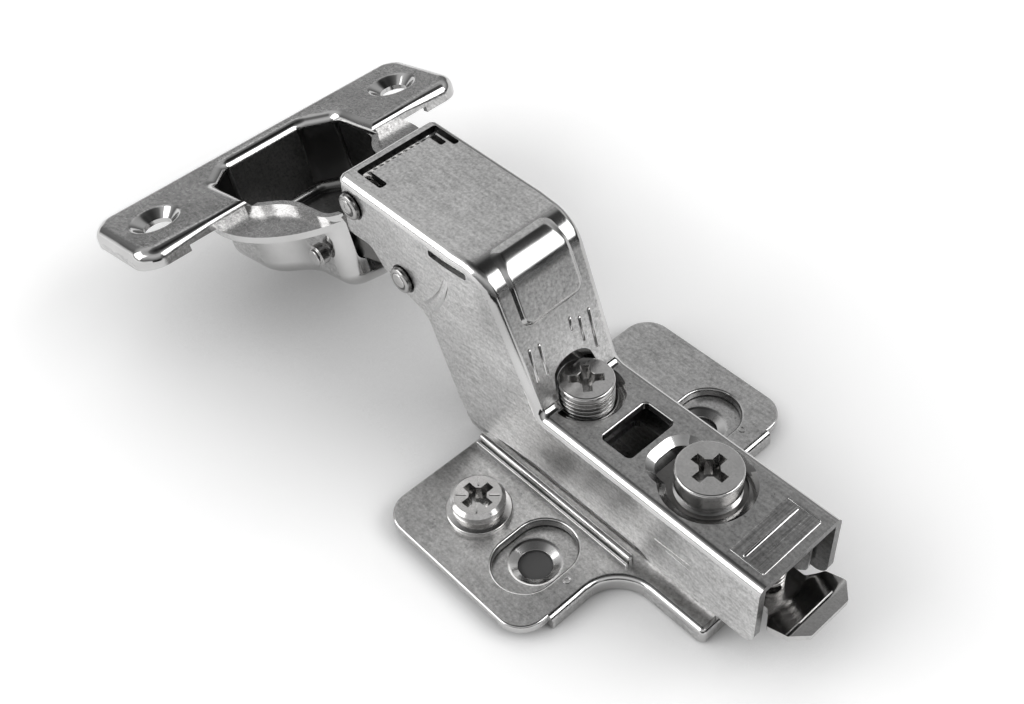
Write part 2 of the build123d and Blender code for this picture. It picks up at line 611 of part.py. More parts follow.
def closing_spring():
    """Close-wound coil round the front pin with a leg under the arm's top."""
    wire = COIL_WIRE
    mean = ARM_PIN_D / 2 + COIL_CLEARANCE + wire / 2
    turns = int((2 * COIL_HALF - wire) / (wire * 1.04))
    height = 2 * COIL_HALF - wire
    path = Helix(pitch=height / turns, height=height, radius=mean)
    section = Plane(origin=path @ 0, z_dir=path % 0) * Circle(wire / 2)
    coil = sweep(section, path=path)
    coil = Rot(90, 0, 0) * Pos(0, 0, -height / 2) * coil
    return Pos(FRONT_PIN[0], 0, FRONT_PIN[1]) * coil


# ---------------------------------------------------------------- the links
def toward(start, end):
    """Unit direction, its left-hand normal and the length between two places."""
    dx, dz = end[0] - start[0], end[1] - start[1]
    length = math.hypot(dx, dz)
    return (dx / length, dz / length), (-dz / length, dx / length), length


def along(start, end, run, side):
    """Place at a run along the line from start to end and a side step off it."""
    axis, normal, _ = toward(start, end)
    return (start[0] + axis[0] * run + normal[0] * side,
            start[1] + axis[1] * run + normal[1] * side)


def outer_link():
    """Yoke round the front pin that narrows to a tongue with the deep pin's eye."""
    _, _, length = toward(FRONT_PIN, DEEP_PIN)
    half = LINK_EYE_R

    def at(run, side):
        return along(FRONT_PIN, DEEP_PIN, run, side)

    strip = outline(at(4.0, -0.7), (*at(9.0, -1.9), 7.0), at(length, -1.2),
                    at(length, 0.5), (*at(9.0, 0.1), 9.0), at(4.0, 1.4))
    body = side_prism(strip, -OUTER_EAR_HALF, OUTER_EAR_HALF)
    beside = outline(at(8.0, -6), at(length + 5, -6), at(length + 5, 6), at(8.0, 6))
    body -= both_sides(beside, OUTER_TONGUE_HALF, OUTER_EAR_HALF + 1)
    body += rod_y(DEEP_PIN, 2 * DEEP_EYE_R, -OUTER_TONGUE_HALF, OUTER_TONGUE_HALF)
    ear = outline((*at(-half, -half), half - 0.1), (*at(3.4, -half), 1.5), at(7.2, -0.9),
                  at(7.2, 0.1), (*at(3.4, half), 1.5), (*at(-half, half), half - 0.1))
    body += both_sides(ear, OUTER_EAR_HALF - OUTER_EAR_SHEET, OUTER_EAR_HALF)
    across = 1.2 * OUTER_EAR_HALF
    body -= rod_y(FRONT_PIN, ARM_PIN_D + 2 * TURN_CLEARANCE, -across, across)
    return body - rod_y(DEEP_PIN, DEEP_PIN_D + 2 * TURN_CLEARANCE, -across, across)


def inner_link():
    """Two cheeks joined by a web; the rear eye is the opened pivot, a slot."""
    _, _, length = toward(STUB_PIN, REAR_PIN)
    half = LINK_EYE_R

    def at(run, side):
        return along(STUB_PIN, REAR_PIN, run, side)

    slot_half = ARM_PIN_D / 2 + OPEN_PIVOT_SIDE
    end_half = slot_half + 1.1
    cheek = outline((*at(-half, -half), half - 0.1), (*at(6.0, -1.9), 6.0),
                    (*at(length - 5.0, -1.9), 3.0), (*at(length + 3.6, -end_half), 2.2),
                    (*at(length + 3.6, end_half), 2.2), (*at(length - 5.0, 1.9), 3.0),
                    (*at(6.0, 1.9), 6.0), (*at(-half, half), half - 0.1))
    y_in = INNER_CHEEK_HALF - INNER_CHEEK_SHEET
    body = both_sides(cheek, y_in, INNER_CHEEK_HALF)
    web = outline((*at(length - 9.0, -1.9),), (*at(length - 5.0, -1.9),),
                  (*at(length - 5.0, -0.7),), (*at(length - 9.0, -0.7),))
    body += side_prism(web, -INNER_CHEEK_HALF, INNER_CHEEK_HALF)
    across = 1.2 * INNER_CHEEK_HALF
    body -= rod_y(STUB_PIN, STUB_D + 2 * TURN_CLEARANCE, -across, across)
    pin_r = ARM_PIN_D / 2
    low, high = length - pin_r - OPEN_PIVOT_IN, length + pin_r + OPEN_PIVOT_OUT
    slot = outline(*[(*at(run, side), slot_half - 0.05) for run, side in
                     ((low, -slot_half), (high, -slot_half),
                      (high, slot_half), (low, slot_half))])
    return body - side_prism(slot, -across, across)


# ---------------------------------------------------------------- the cup
def bowl_plan(inset):
    """Plan of the bowl: wide behind, narrowed to a neck towards the arm."""
    wide, neck = MOUTH_HALF + CUP_SHEET - inset, RECESS_HALF - inset
    back, drift = MOUTH_BACK_U - CUP_SHEET + inset, 0.4 * inset
    turn = BOWL_CORNER_R - inset
    half = [(back, MOUTH_BACK_HALF - drift, turn), (MOUTH_TURN_U + drift, wide, turn),
            (RECESS_START_U - drift, wide, RECESS_TURN_R - inset),
            (RECESS_END_U - drift, neck, RECESS_TURN_R + inset),
            (CUP_D, neck)]
    other = [(c[0], -c[1], *c[2:]) for c in reversed(half)]
    face = outline(*half, *other) & Circle(CUP_D / 2 - inset)
    sharp = [v for v in face.vertices() if v.X > RECESS_END_U + 4 and abs(abs(v.Y) - neck) < 0.01]
    return fillet(sharp, turn)


def mouth_block():
    """Wide block with the mouth cut through it and its upper edge rolled in."""
    wide, back = MOUTH_HALF, MOUTH_BACK_U
    turn, drift = BOWL_CORNER_R - CUP_SHEET, 0.4 * CUP_SHEET
    side, at = MOUTH_BACK_HALF - drift, MOUTH_TURN_U + drift
    mouth = outline((back, -side, turn), (at, -wide, turn), (CUP_D, -wide),
                    (CUP_D, wide), (at, wide, turn), (back, side, turn))
    front = CUP_D / 3
    block = rectangle(-CUP_D, front, -CUP_D, CUP_D) - mouth
    block = plan_prism(block, FLANGE_LOW - 1, FLANGE_TOP)
    rim = [e for e in block.edges() if abs(e.center().Z - FLANGE_TOP) < 1e-4
           and abs(e.center().Y) < wide + 0.1 and back - 0.1 < e.center().X < front - 0.1]
    return rounded(block, rim, MOUTH_EDGE_R)


def cup_in_frame():
    r, sheet = CUP_D / 2, CUP_SHEET
    bowl = plan_prism(bowl_plan(0), -CUP_DEPTH, 0)
    bowl = fillet(bowl.faces().sort_by(Axis.Z)[0].outer_wire().edges(), CUP_BOTTOM_R)
    inside = plan_prism(bowl_plan(sheet), -CUP_DEPTH + sheet, 0)
    bottom = inside.faces().sort_by(Axis.Z)[0].outer_wire().edges()
    inside = fillet(bottom, CUP_BOTTOM_R - sheet)
    inside += plan_prism(bowl_plan(sheet), -0.5, FLANGE_TOP + 1)
    lip = plan_prism(Circle(r), -sheet, 0)
    back, end, front, cut = FLANGE_BACK_U, FLANGE_HALF, FLANGE_FRONT_U, 2.4
    flange_plan = outline((back, -end + cut, 1.2), (back + cut, -end, 1.2),
                          (front - cut, -end, 1.0), (front, -end + cut, 1.0),
                          (front, end - cut, 1.0), (front - cut, end, 1.0),
                          (back + cut, end, 1.2), (back, end - cut, 1.2))
    flange = plan_prism(flange_plan, FLANGE_LOW, FLANGE_TOP)
    flange = fillet(flange.faces().sort_by(Axis.Z)[-1].outer_wire().edges(), FLANGE_EDGE_R)
    under = offset(flange_plan, -sheet)
    flange -= plan_prism(under, FLANGE_LOW - 1, FLANGE_TOP - sheet)
    flange &= mouth_block()
    for side in (-1, 1):
        low, high = sorted((side * FLANGE_STEP_FROM, side * FLANGE_STEP_TO))
        step = rectangle(front - sheet - 0.5, front + 1, low, high)
        flange -= plan_prism(step, FLANGE_LOW - 1, 0)
        y = side * CUP_HOLE_SPACING / 2
        flange += rod_z(-CUP_HOLE_BACK, y, CUP_DISH_D + 2 * CUP_DISH_LAND, 0, FLANGE_TOP - sheet / 2)
    collar = plan_prism(bowl_plan(0), -sheet, FLANGE_TOP - MOUTH_EDGE_R)
    body = bowl + lip + flange + collar
    body -= inside
    for side in (-1, 1):
        y = side * CUP_HOLE_SPACING / 2
        body -= rod_z(-CUP_HOLE_BACK, y, CUP_HOLE_D, -1, FLANGE_TOP + 1)
        dish = Cone(CUP_HOLE_D / 2, CUP_DISH_D / 2, CUP_DISH_DEPTH)
        body -= Pos(-CUP_HOLE_BACK, y, FLANGE_TOP - CUP_DISH_DEPTH / 2) * dish
    rims = [e for e in body.edges() if abs(e.center().Z - FLANGE_TOP) < 1e-4
            and abs(e.center().X + CUP_HOLE_BACK) < CUP_DISH_D / 2 + 0.1
            and abs(abs(e.center().Y) - CUP_HOLE_SPACING / 2) < CUP_DISH_D / 2 + 0.1]
    body = fillet(rims, CUP_DISH_EDGE_R)
    notch = outline((NOTCH_HALF, 3), (NOTCH_HALF, NOTCH_W, 1.2),
                    (-NOTCH_HALF, NOTCH_W, 1.2), (-NOTCH_HALF, 3))
    body -= extrude(Plane.YZ.offset(NOTCH_FROM_U) * notch, amount=12)
    stub = Plane.XZ * disc(STUB_UW[0], STUB_UW[1], STUB_D)
    body -= extrude(stub, amount=30, both=True)
    deep = Plane.XZ * disc(DEEP_PIN_UW[0], DEEP_PIN_UW[1], DEEP_PIN_D)
    body -= extrude(deep, amount=RECESS_HALF - 0.3, both=True)
    return body


def cup():
    return CUP_FRAME * cup_in_frame()


def cup_stub(side):
    low = INNER_CHEEK_HALF - INNER_CHEEK_SHEET + 0.05
    y_low, y_high = sorted((side * low, side * STUB_END))
    collar_low, collar_high = sorted((side * STUB_COLLAR_FROM, side * STUB_COLLAR_TO))
    collar = rod_y(STUB_PIN, STUB_COLLAR_D, collar_low, collar_high)
    return rod_y(STUB_PIN, STUB_D, y_low, y_high) + collar


def cup_pin():
    end = RECESS_HALF - 0.3
    return rod_y(DEEP_PIN, DEEP_PIN_D, -end, end)


PIECES = {
    "fixing_plate": fixing_plate,
    "cross_plate": cross_plate,
    "height_cam": height_cam,
    "adapter": adapter,
    "clip_lever": clip_lever,
    "lever_pin": lever_pin,
    "lever_spring": lever_spring,
    "depth_slider": depth_slider,
    "depth_cam": depth_cam,
    "side_screw": side_screw,
    "arm": arm,
    "closing_spring": closing_spring,
    "outer_link": outer_link,
    "inner_link": inner_link,
    "cup": cup,
    "cup_pin": cup_pin,
}

for name, make in PIECES.items():
    save(name, make())
for place, x in RIVET_XS.items():
    save(f"guide_rivet_{place}", guide_rivet(x))
for place, centre in (("front", FRONT_PIN), ("rear", REAR_PIN)):
    save(f"arm_pin_{place}", arm_pin(centre))
for place, side in (("left", -1), ("right", 1)):
    save(f"cup_stub_{place}", cup_stub(side))
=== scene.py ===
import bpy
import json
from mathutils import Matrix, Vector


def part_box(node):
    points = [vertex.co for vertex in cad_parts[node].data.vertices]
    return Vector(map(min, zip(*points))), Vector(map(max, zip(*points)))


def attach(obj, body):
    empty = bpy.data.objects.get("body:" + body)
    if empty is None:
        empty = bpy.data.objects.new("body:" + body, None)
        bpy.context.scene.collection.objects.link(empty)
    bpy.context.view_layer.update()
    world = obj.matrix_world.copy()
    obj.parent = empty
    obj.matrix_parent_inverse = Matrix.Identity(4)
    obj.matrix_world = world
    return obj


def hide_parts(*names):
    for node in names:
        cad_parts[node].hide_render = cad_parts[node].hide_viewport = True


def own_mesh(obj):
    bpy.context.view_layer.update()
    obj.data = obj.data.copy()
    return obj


bl_info = {
    "name": "Concealed cup hinge",
    "version": (1, 0, 0),
    "blender": (4, 5, 0),
    "location": "View3D > Sidebar > Hinge",
    "description": "Dresses a nickel-plated concealed cup hinge and sets its studio",
    "category": "Object",
}

import json
import math
from contextlib import contextmanager

import bmesh
import bpy
from mathutils import Matrix, Vector

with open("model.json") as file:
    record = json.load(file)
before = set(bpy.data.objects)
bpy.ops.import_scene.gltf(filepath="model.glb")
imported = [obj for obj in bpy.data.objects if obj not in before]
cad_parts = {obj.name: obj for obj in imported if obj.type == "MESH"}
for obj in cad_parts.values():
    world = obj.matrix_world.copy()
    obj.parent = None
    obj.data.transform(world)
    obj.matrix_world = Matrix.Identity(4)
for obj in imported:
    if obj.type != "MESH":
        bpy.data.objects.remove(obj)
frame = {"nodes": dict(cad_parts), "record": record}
MM = 0.001
X_WAY, Y_WAY, Z_WAY = (1, 0, 0), (0, 1, 0), (0, 0, 1)


def node_body(node):
    """Name of the body that carries a node."""
    for body, nodes in frame["record"]["behaviour"]["bodies"].items():
        if node in nodes:
            return body
    raise RuntimeError(f"no body carries {node}")


def node_slot(node):
    """Material slot that the record gives a node."""
    for part in frame["record"]["subparts"]:
        if part["node"] == node:
            return part["material_slot"]
    raise RuntimeError(f"no slot for {node}")


# ---------------------------------------------------------------- measures, in millimetres
NOSE_TOP, NOSE_HALF = 36.5, 8.45
TAIL_TOP, TAIL_HALF = 16.66, 7.46

# side view of the arm's outer line: flat nose, crest, slope
CREST_X, CREST_R, CREST_TURN = -13.35, 6.0, math.radians(68.04)
CREST_START = Vector((CREST_X, 0, NOSE_TOP))
CREST_CENTRE = Vector((CREST_X, 0, NOSE_TOP - CREST_R))
SLOPE_RUN, SLOPE_X, SLOPE_DRIFT = 7.125, -7.785, 0.374

CUP_TILT, CUP_R, CUP_SHEET = math.radians(15.0), 17.5, 1.0
CUP_CENTRE = Vector((-57.84, 0, 20.11))
CUP_U = Vector((math.cos(CUP_TILT), 0, math.sin(CUP_TILT)))
CUP_W = Vector((-math.sin(CUP_TILT), 0, math.cos(CUP_TILT)))
BOWL_TOP, BOWL_FLOOR, BOWL_LEDGE = -0.05, -11.2, -2.0

FLANGE_END, FLANGE_BACK, FLANGE_FRONT, FLANGE_TOP, FLANGE_LOW = 29.8, -19.2, -0.5, 1.95, -1.0
FLANGE_CUT, FLANGE_NECK, NECK_EDGE = 2.4, 18.4, 1.12
MOUTH_RIM, MOUTH_REACH, MOUTH_FRONT = 1.85, 11.0, 0.8
MOUTH_BACK_U, MOUTH_SIDE, MOUTH_TURN_U, MOUTH_CORNER = -14.8, 7.1, -10.6, 2.6
MOUTH_HALF = math.sqrt((CUP_R - MOUTH_RIM + CUP_SHEET) ** 2 - MOUTH_REACH ** 2) - CUP_SHEET


def arm_line(run):
    """Place and outward normal at a run along the arm's top from the crest's start."""
    if run < 0:
        return CREST_START + Vector((run, 0, 0)), Vector(Z_WAY)
    turn = min(run / CREST_R, CREST_TURN)
    normal = Vector((math.sin(turn), 0, math.cos(turn)))
    place = CREST_CENTRE + normal * CREST_R
    past = max(run - CREST_R * CREST_TURN, 0)
    return place + Vector((math.cos(CREST_TURN), 0, -math.sin(CREST_TURN))) * past, normal


def cup_point(u, v, w):
    """Place in the shared frame of a place on the cup's own tilted axes."""
    return CUP_CENTRE + CUP_U * u + Vector((0, v, 0)) + CUP_W * w


# ---------------------------------------------------------------- shader expressions
class Socket:
    """A shader socket that can be written in sums."""

    def __init__(self, tree, link):
        self.tree, self.link = tree, link

    def math(self, operation, *values):
        return self.tree.make("Math", {"operation": operation}, [self, *values])

    def __add__(self, other):
        return self.math("ADD", other)

    __radd__ = __add__

    def __mul__(self, other):
        return self.math("MULTIPLY", other)

    __rmul__ = __mul__

    def __sub__(self, other):
        return self.math("SUBTRACT", other)

    def __rsub__(self, other):
        return self.tree.make("Math", {"operation": "SUBTRACT"}, [other, self])

    def size(self):
        return self.math("ABSOLUTE")

    def most(self, other):
        return self.math("MAXIMUM", other)

    def swing(self, reach):
        """A noise's swing about 0, from one end of its reach to the other."""
        return (self - 0.5) * reach

    def ramp(self, low, high, to_low=0.0, to_high=1.0):
        """Smooth step from low to high."""
        return self.tree.make("MapRange", {"interpolation_type": "SMOOTHSTEP"},
                              {"Value": self, "From Min": low, "From Max": high,
                               "To Min": to_low, "To Max": to_high})

    def fade(self, low, high):
        """Smooth step down from 1 at low to 0 at high."""
        return self.ramp(low, high, 1.0, 0.0)


class Shader:
    """The node tree of a material or a world and the ways to add to it."""

    def __init__(self, owner):
        owner.use_nodes = True
        self.owner = owner
        self.nodes, self.links = owner.node_tree.nodes, owner.node_tree.links
        self.nodes.clear()

    def make(self, kind, settings=None, values=None, output=0):
        """Adds a node: its settings, then the values or links of its sockets."""
        node = self.nodes.new("ShaderNode" + kind)
        for name, setting in (settings or {}).items():
            if name == "stops":
                self.set_stops(node.color_ramp.elements, setting)
            else:
                setattr(node, name, setting)
        pairs = values.items() if isinstance(values, dict) else enumerate(values or [])
        for key, value in pairs:
            if isinstance(value, Socket):
                self.links.new(value.link, node.inputs[key])
            else:
                node.inputs[key].default_value = value
        return Socket(self, node.outputs[output])

    def set_stops(self, elements, stops):
        """Sets a ramp's grey stops, each a place and a level."""
        while len(elements) < len(stops):
            elements.new(0.5)
        for element, (place, level) in zip(elements, stops):
            element.position, element.color = place, (level, level, level, 1)

    def place(self):
        """Place in the shared frame, where every piece sits, in metres."""
        return self.make("TexCoord", output="Object")

    def facing(self):
        return self.make("TexCoord", output="Normal")

    def shade(self):
        """The painted shade that a mesh gives each of its faces."""
        return self.make("Attribute", {"attribute_name": "shade"}, output="Fac")

    def ray(self, kind):
        return self.make("LightPath", output=f"Is {kind} Ray")

    def part(self, vector, axis):
        return self.make("SeparateXYZ", {}, [vector], output=axis)

    def dot(self, vector, way):
        return self.make("VectorMath", {"operation": "DOT_PRODUCT"}, [vector, way],
                         output="Value")

    def noise(self, place, scale, detail=3.0, rough=0.55):
        return self.make("TexNoise", {"noise_dimensions": "3D"},
                         {"Vector": place, "Scale": scale, "Detail": detail,
                          "Roughness": rough})

    def brushed(self, place, scales, detail=3.0, rough=0.55):
        """Noise with a scale of its own along each axis."""
        place = self.make("Mapping", {}, {"Vector": place, "Scale": scales})
        return self.noise(place, 1.0, detail, rough)

    def bump(self, strength, depth, height):
        return self.make("Bump", {}, {"Strength": strength, "Distance": depth,
                                      "Height": height})

    def tinted(self, tone, warmth=0.01):
        """Grey of a varying tone with a faint warm cast."""
        return self.make("CombineColor", {"mode": "RGB"},
                         {"Red": tone, "Green": tone * (1 - warmth),
                          "Blue": tone * (1 - 2 * warmth)})

    def end(self, kind, last):
        """Joins the last shader to the tree's output and returns the tree's owner."""
        out = self.nodes.new("ShaderNodeOutput" + kind)
        self.links.new(last.link, out.inputs[0])
        return self.owner

    def surface(self, **values):
        """Ends a material; an underscore stands for the space in a socket's name."""
        values = {name.replace("_", " "): value for name, value in values.items()}
        return self.end("Material", self.make("BsdfPrincipled", {}, values))


# ways that the flat faces look: level, upright, the arm's slope, the cup's tilt, the ends
FLAT_WAYS = [Z_WAY, Y_WAY, (0.9275, 0, 0.374), (-0.2588, 0, 0.9659), X_WAY]


def flatness(shader):
    """1 on the flat sheet faces and 0 on the bends, by the way a surface faces."""
    facing = shader.facing()
    best = None
    for way in FLAT_WAYS:
        match = shader.dot(facing, way).size()
        best = match if best is None else best.most(match)
    return best.ramp(0.972, 0.997)


def plated_sheet(name, level, rough_flat, rough_bend, patch=None):
    """Nickel plate: satin, peppered flats and bright bends; patch darkens a part of it."""
    cloud_tone, grain_tone, streak_tone, pit_tone = 0.3, 0.8, 0.45, 0.34
    cloud_rough, pit_rough, shade_rough = 0.12, 0.14, 0.1
    grain_relief, pit_relief, streak_relief, wave_relief = 0.6, 0.7, 0.25, 16
    shader = Shader(bpy.data.materials.new(name))
    place, shade, flat = shader.place(), shader.shade(), flatness(shader)
    cloud = shader.noise(place, 85.0, detail=4.0)
    grain = shader.noise(place, 2500.0, rough=0.75)
    pits = shader.noise(place, 1150.0, detail=5.0, rough=0.8)
    pit = pits.ramp(0.62, 0.71)
    streak = shader.brushed(place, (420, 2100, 2100), rough=0.6)
    wave = shader.noise(place, 95.0, detail=1.0, rough=0.4)
    tone = cloud.swing(cloud_tone) + (grain.swing(grain_tone) + streak.swing(streak_tone)) * flat
    # the shade attribute darkens the tone: painted shade on hidden faces
    tone = (tone - pit * flat * pit_tone + level) * (1 - shade)
    if patch:
        tone = tone * patch(shader, place)
    rough = flat * (rough_flat - rough_bend) + rough_bend + cloud.swing(cloud_rough)
    rough = rough + pit * flat * pit_rough + shade * shade_rough
    height = (grain * grain_relief + pits * pit_relief + streak * streak_relief) * flat
    height = height + wave * wave_relief
    return shader.surface(Base_Color=shader.tinted(tone, 0.006), Metallic=1.0,
                          Roughness=rough, Normal=shader.bump(0.24, 0.00006, height))


def tail_patch(shader, place):
    """Darker top of the tail, with the finely brushed panel at its end, and a painted dark
    reflection round the crest.
    """
    top_tone, panel_tone, brush_tone, painted_crest_reflection = 0.26, 0.16, 0.9, 0.26
    x, y, z = (shader.part(place, axis) for axis in "XYZ")
    top = shader.part(shader.facing(), "Z").ramp(0.9, 0.98) * z.fade(0.0168, 0.0185)
    panel = x.ramp(0.02855, 0.0287) * x.fade(0.0336, 0.0337) * y.size().fade(0.0052, 0.0054)
    brush = shader.brushed(place, (4200, 160, 100), detail=2.0, rough=0.6)
    tail = top * (brush.swing(brush_tone) * panel + panel * panel_tone + top_tone)
    # painted dark reflection on the crest, beside its highlight
    crest = z.ramp(0.0225, 0.0305) * x.ramp(-0.0118, -0.0095)
    return 1 - tail - crest * painted_crest_reflection


def bright_metal(name, level, rough):
    """Turned and plated small parts."""
    cloud_tone, grain_tone, cloud_rough, grain_relief = 0.22, 0.18, 0.16, 0.8
    shader = Shader(bpy.data.materials.new(name))
    place, shade = shader.place(), shader.shade()
    cloud = shader.noise(place, 420.0, detail=4.0)
    grain = shader.noise(place, 2600.0, detail=2.0, rough=0.7)
    rings = shader.brushed(place, (300, 300, 5200), detail=2.0)
    # the shade attribute darkens the tone: painted shade, such as the dark rim and ring of the
    # pin heads
    tone = (cloud.swing(cloud_tone) + grain.swing(grain_tone) + level) * (1 - shade)
    bump = shader.bump(0.14, 0.00004, rings + grain * grain_relief)
    return shader.surface(Base_Color=shader.tinted(tone), Metallic=1.0,
                          Roughness=cloud.swing(cloud_rough) + rough, Normal=bump)


def dark_metal(name, level, rough):
    """Oiled dark steel of the hidden links and the wire."""
    cloud_tone, fine_tone, fine_rough = 0.12, 0.08, 0.2
    shader = Shader(bpy.data.materials.new(name))
    place = shader.place()
    cloud = shader.noise(place, 300.0, detail=5.0)
    fine = shader.noise(place, 1900.0)
    tone = cloud.swing(cloud_tone) + fine.swing(fine_tone) + level
    return shader.surface(Base_Color=shader.tinted(tone, 0.02), Metallic=1.0,
                          Roughness=fine.swing(fine_rough) + rough,
                          Normal=shader.bump(0.2, 0.00005, fine))


# each slot's finish: level of the tone, then roughness, on the flats and in the bends of a sheet
FINISHES = {
    "plate_steel": lambda: plated_sheet("nickel_plate", 0.53, 0.32, 0.14),
    "arm_steel": lambda: plated_sheet("nickel_arm", 0.56, 0.31, 0.13, tail_patch),
    "cup_steel": lambda: plated_sheet("nickel_cup", 0.50, 0.25, 0.11),
    "lever_steel": lambda: bright_metal("nickel_lever", 0.52, 0.17),
    "screw_steel": lambda: bright_metal("plated_screw", 0.53, 0.18),
    "pin_steel": lambda: bright_metal("plated_pin", 0.50, 0.2),
    "spring_steel": lambda: dark_metal("spring_wire", 0.5, 0.25),
    "dark_steel": lambda: dark_metal("dark_link", 0.16, 0.32),
}
finishes = {}


def finish_of(slot):
    """A slot's material, made when it is first asked for."""
    if slot not in finishes:
        finishes[slot] = FINISHES[slot]()
    return finishes[slot]


# ---------------------------------------------------------------- mesh helpers
def add_object(name, data):
    piece = bpy.data.objects.new(name, data)
    bpy.context.scene.collection.objects.link(piece)
    return piece


def settle(piece, node):
    """Gives a piece the finish and the body of a node."""
    body, slot = node_body(node), node_slot(node)
    piece.data.materials.clear()
    piece.data.materials.append(finish_of(slot))
    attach(piece, body)


@contextmanager
def editing(mesh):
    """A mesh's bmesh, written back at the end."""
    bm = bmesh.new()
    bm.from_mesh(mesh)
    yield bm
    bm.to_mesh(mesh)
    bm.free()


def merge(mesh, flat_deg, distance=2e-7):
    """Merges a mesh's doubles and joins its faces that lie in one plane."""
    with editing(mesh) as bm:
        bmesh.ops.remove_doubles(bm, verts=bm.verts, dist=distance)
        bmesh.ops.dissolve_limit(bm, angle_limit=math.radians(flat_deg), verts=bm.verts,
                                 edges=bm.edges)


def close(bm, distance):
    """Merges the doubles of a closed bmesh and turns its faces outwards."""
    bmesh.ops.remove_doubles(bm, verts=bm.verts, dist=distance)
    bmesh.ops.recalc_face_normals(bm, faces=bm.faces)


def soften(bm, sharp_deg):
    """Smooth faces, with sharp rims where they meet at more than an angle."""
    for rim in bm.edges:
        sharp = len(rim.link_faces) == 2 and rim.calc_face_angle(0) > math.radians(sharp_deg)
        rim.smooth = not sharp
    for face in bm.faces:
        face.smooth = True


def mesh_of(bm, name):
    """New mesh of a bmesh, which is freed."""
    mesh = bpy.data.meshes.new(name)
    bm.to_mesh(mesh)
    bm.free()
    return mesh


def from_bmesh(name, bm, node, sharp_deg=35.0):
    """Ends a bmesh as a piece that takes body and finish from a node."""
    close(bm, 1e-7)
    soften(bm, sharp_deg)
    settle(add_object(name, mesh_of(bm, name)), node)


def bake_modifiers(piece):
    """Turns the evaluated result into the piece's plain mesh."""
    graph = bpy.context.evaluated_depsgraph_get()
    mesh = bpy.data.meshes.new_from_object(piece.evaluated_get(graph))
    piece.modifiers.clear()
    piece.data = mesh


def cut_by(piece, tool, operation):
    """Cuts a closed bmesh solid from a piece or joins it on; both in the shared frame."""
    close(tool, 1e-8)
    other = add_object("tool", mesh_of(tool, "tool"))
    trim = piece.modifiers.new("trim", "BOOLEAN")
    trim.operation, trim.solver, trim.object = operation, "EXACT", other
    bake_modifiers(piece)
    bpy.data.objects.remove(other)
    if not piece.data.polygons:
        raise RuntimeError(f"{operation} left nothing of {piece.name}")


def dressed(node, edge, angle=32.0, shade=None, reshape=None):
    """Merged copy of a solid with softly broken edges, in the solid's own place."""
    flat_deg = 0.05
    mesh = frame["nodes"][node].data.copy()
    mesh.name = node + "_skin"
    merge(mesh, flat_deg)
    piece = add_object(node + "_skin", mesh)
    if reshape:
        reshape(piece)
        merge(piece.data, flat_deg, distance=2e-6)
    with editing(piece.data) as bm:
        soften(bm, angle)
        # each face's painted shade, which the finishes read
        layer = bm.faces.layers.float.new("shade")
        for face in bm.faces:
            face[layer] = shade(face) if shade else 0.0
    if edge:
        bevel = piece.modifiers.new("edge", "BEVEL")
        bevel.width = edge
        bevel.segments = 2
        bevel.limit_method = "ANGLE"
        bevel.angle_limit = math.radians(angle)
        bevel.use_clamp_overlap = True
    weighted = piece.modifiers.new("flats", "WEIGHTED_NORMAL")
    weighted.keep_sharp = True
    weighted.weight = 80
    bake_modifiers(piece)
    settle(piece, node)
    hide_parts(node)
    return piece


def bridge(bm, one, two):
    """Faces between two closed rings of as many vertices."""
    for i in range(len(one)):
        j = (i + 1) % len(one)
        bm.faces.new((one[i], one[j], two[j], two[i]))


def tube(bm, rings):
    """Closed solid through rings of vertices."""
    for one, two in zip(rings, rings[1:]):
        bridge(bm, one, two)
    bm.faces.new(rings[0])
    bm.faces.new(rings[-1][::-1])


def sheet(bm, grid):
    """Faces over the rows of a grid of vertices."""
    for one, two in zip(grid, grid[1:]):
        for k in range(len(one) - 1):
            bm.faces.new((one[k], one[k + 1], two[k + 1], two[k]))


def border(grid):
    """Ring of the vertices round a grid."""
    ring = grid[0] + [row[-1] for row in grid[1:]] + grid[-1][-2::-1]
    return ring + [row[0] for row in grid[-2:0:-1]]


def bar(bm, start, end, side, up, width, height):
    """Rounded raised bar from start to end, in millimetres, with its foot in the face."""
    start, end, side, up = Vector(start), Vector(end), Vector(side), Vector(up)
    run = (end - start).normalized()
    foot = -0.05 / height
    profile = [(-0.5, foot), (-0.47, 0.45), (-0.3, 0.85), (0, 1.0), (0.3, 0.85),
               (0.47, 0.45), (0.5, foot)]
    near, far = run * width * 0.25, run * width * 0.6
    rings = []
    for place, share in ((start, 0.0), (start + near, 0.7), (start + far, 1.0),
                         (end - far, 1.0), (end - near, 0.7), (end, 0.0)):
        ring = []
        for across, rise in profile:
            tall = rise * height * (1 if rise < 0 else max(share, 0.02))
            wide = across * width * (0.55 + 0.45 * share)
            ring.append(bm.verts.new((place + side * wide + up * tall) * MM))
        rings.append(ring)
    tube(bm, rings)


def lathe(bm, centre, axis, profile, steps):
    """Closed turned shape; profile is (radius, run along the axis, shade) in millimetres."""
    layer = bm.faces.layers.float.get("shade") or bm.faces.layers.float.new("shade")
    centre, axis = Vector(centre), Vector(axis).normalized()
    side = axis.orthogonal().normalized()
    other = axis.cross(side)
    turns = [2 * math.pi * i / steps for i in range(steps)]
    rings = []
    for radius, run, *_ in profile:
        foot = centre + axis * run
        rings.append([bm.verts.new((foot + side * radius * math.cos(t)
                                    + other * radius * math.sin(t)) * MM)
                      for t in (turns if radius else turns[:1])])
    for one, two, stop in zip(rings, rings[1:], profile):
        for i in range(steps):
            j = (i + 1) % steps
            corners = [one[i % len(one)], one[j % len(one)],
                       two[j % len(two)], two[i % len(two)]]
            unique = list(dict.fromkeys(corners))
            if len(unique) > 2:
                bm.faces.new(unique)[layer] = stop[2] if len(stop) > 2 else 0.0


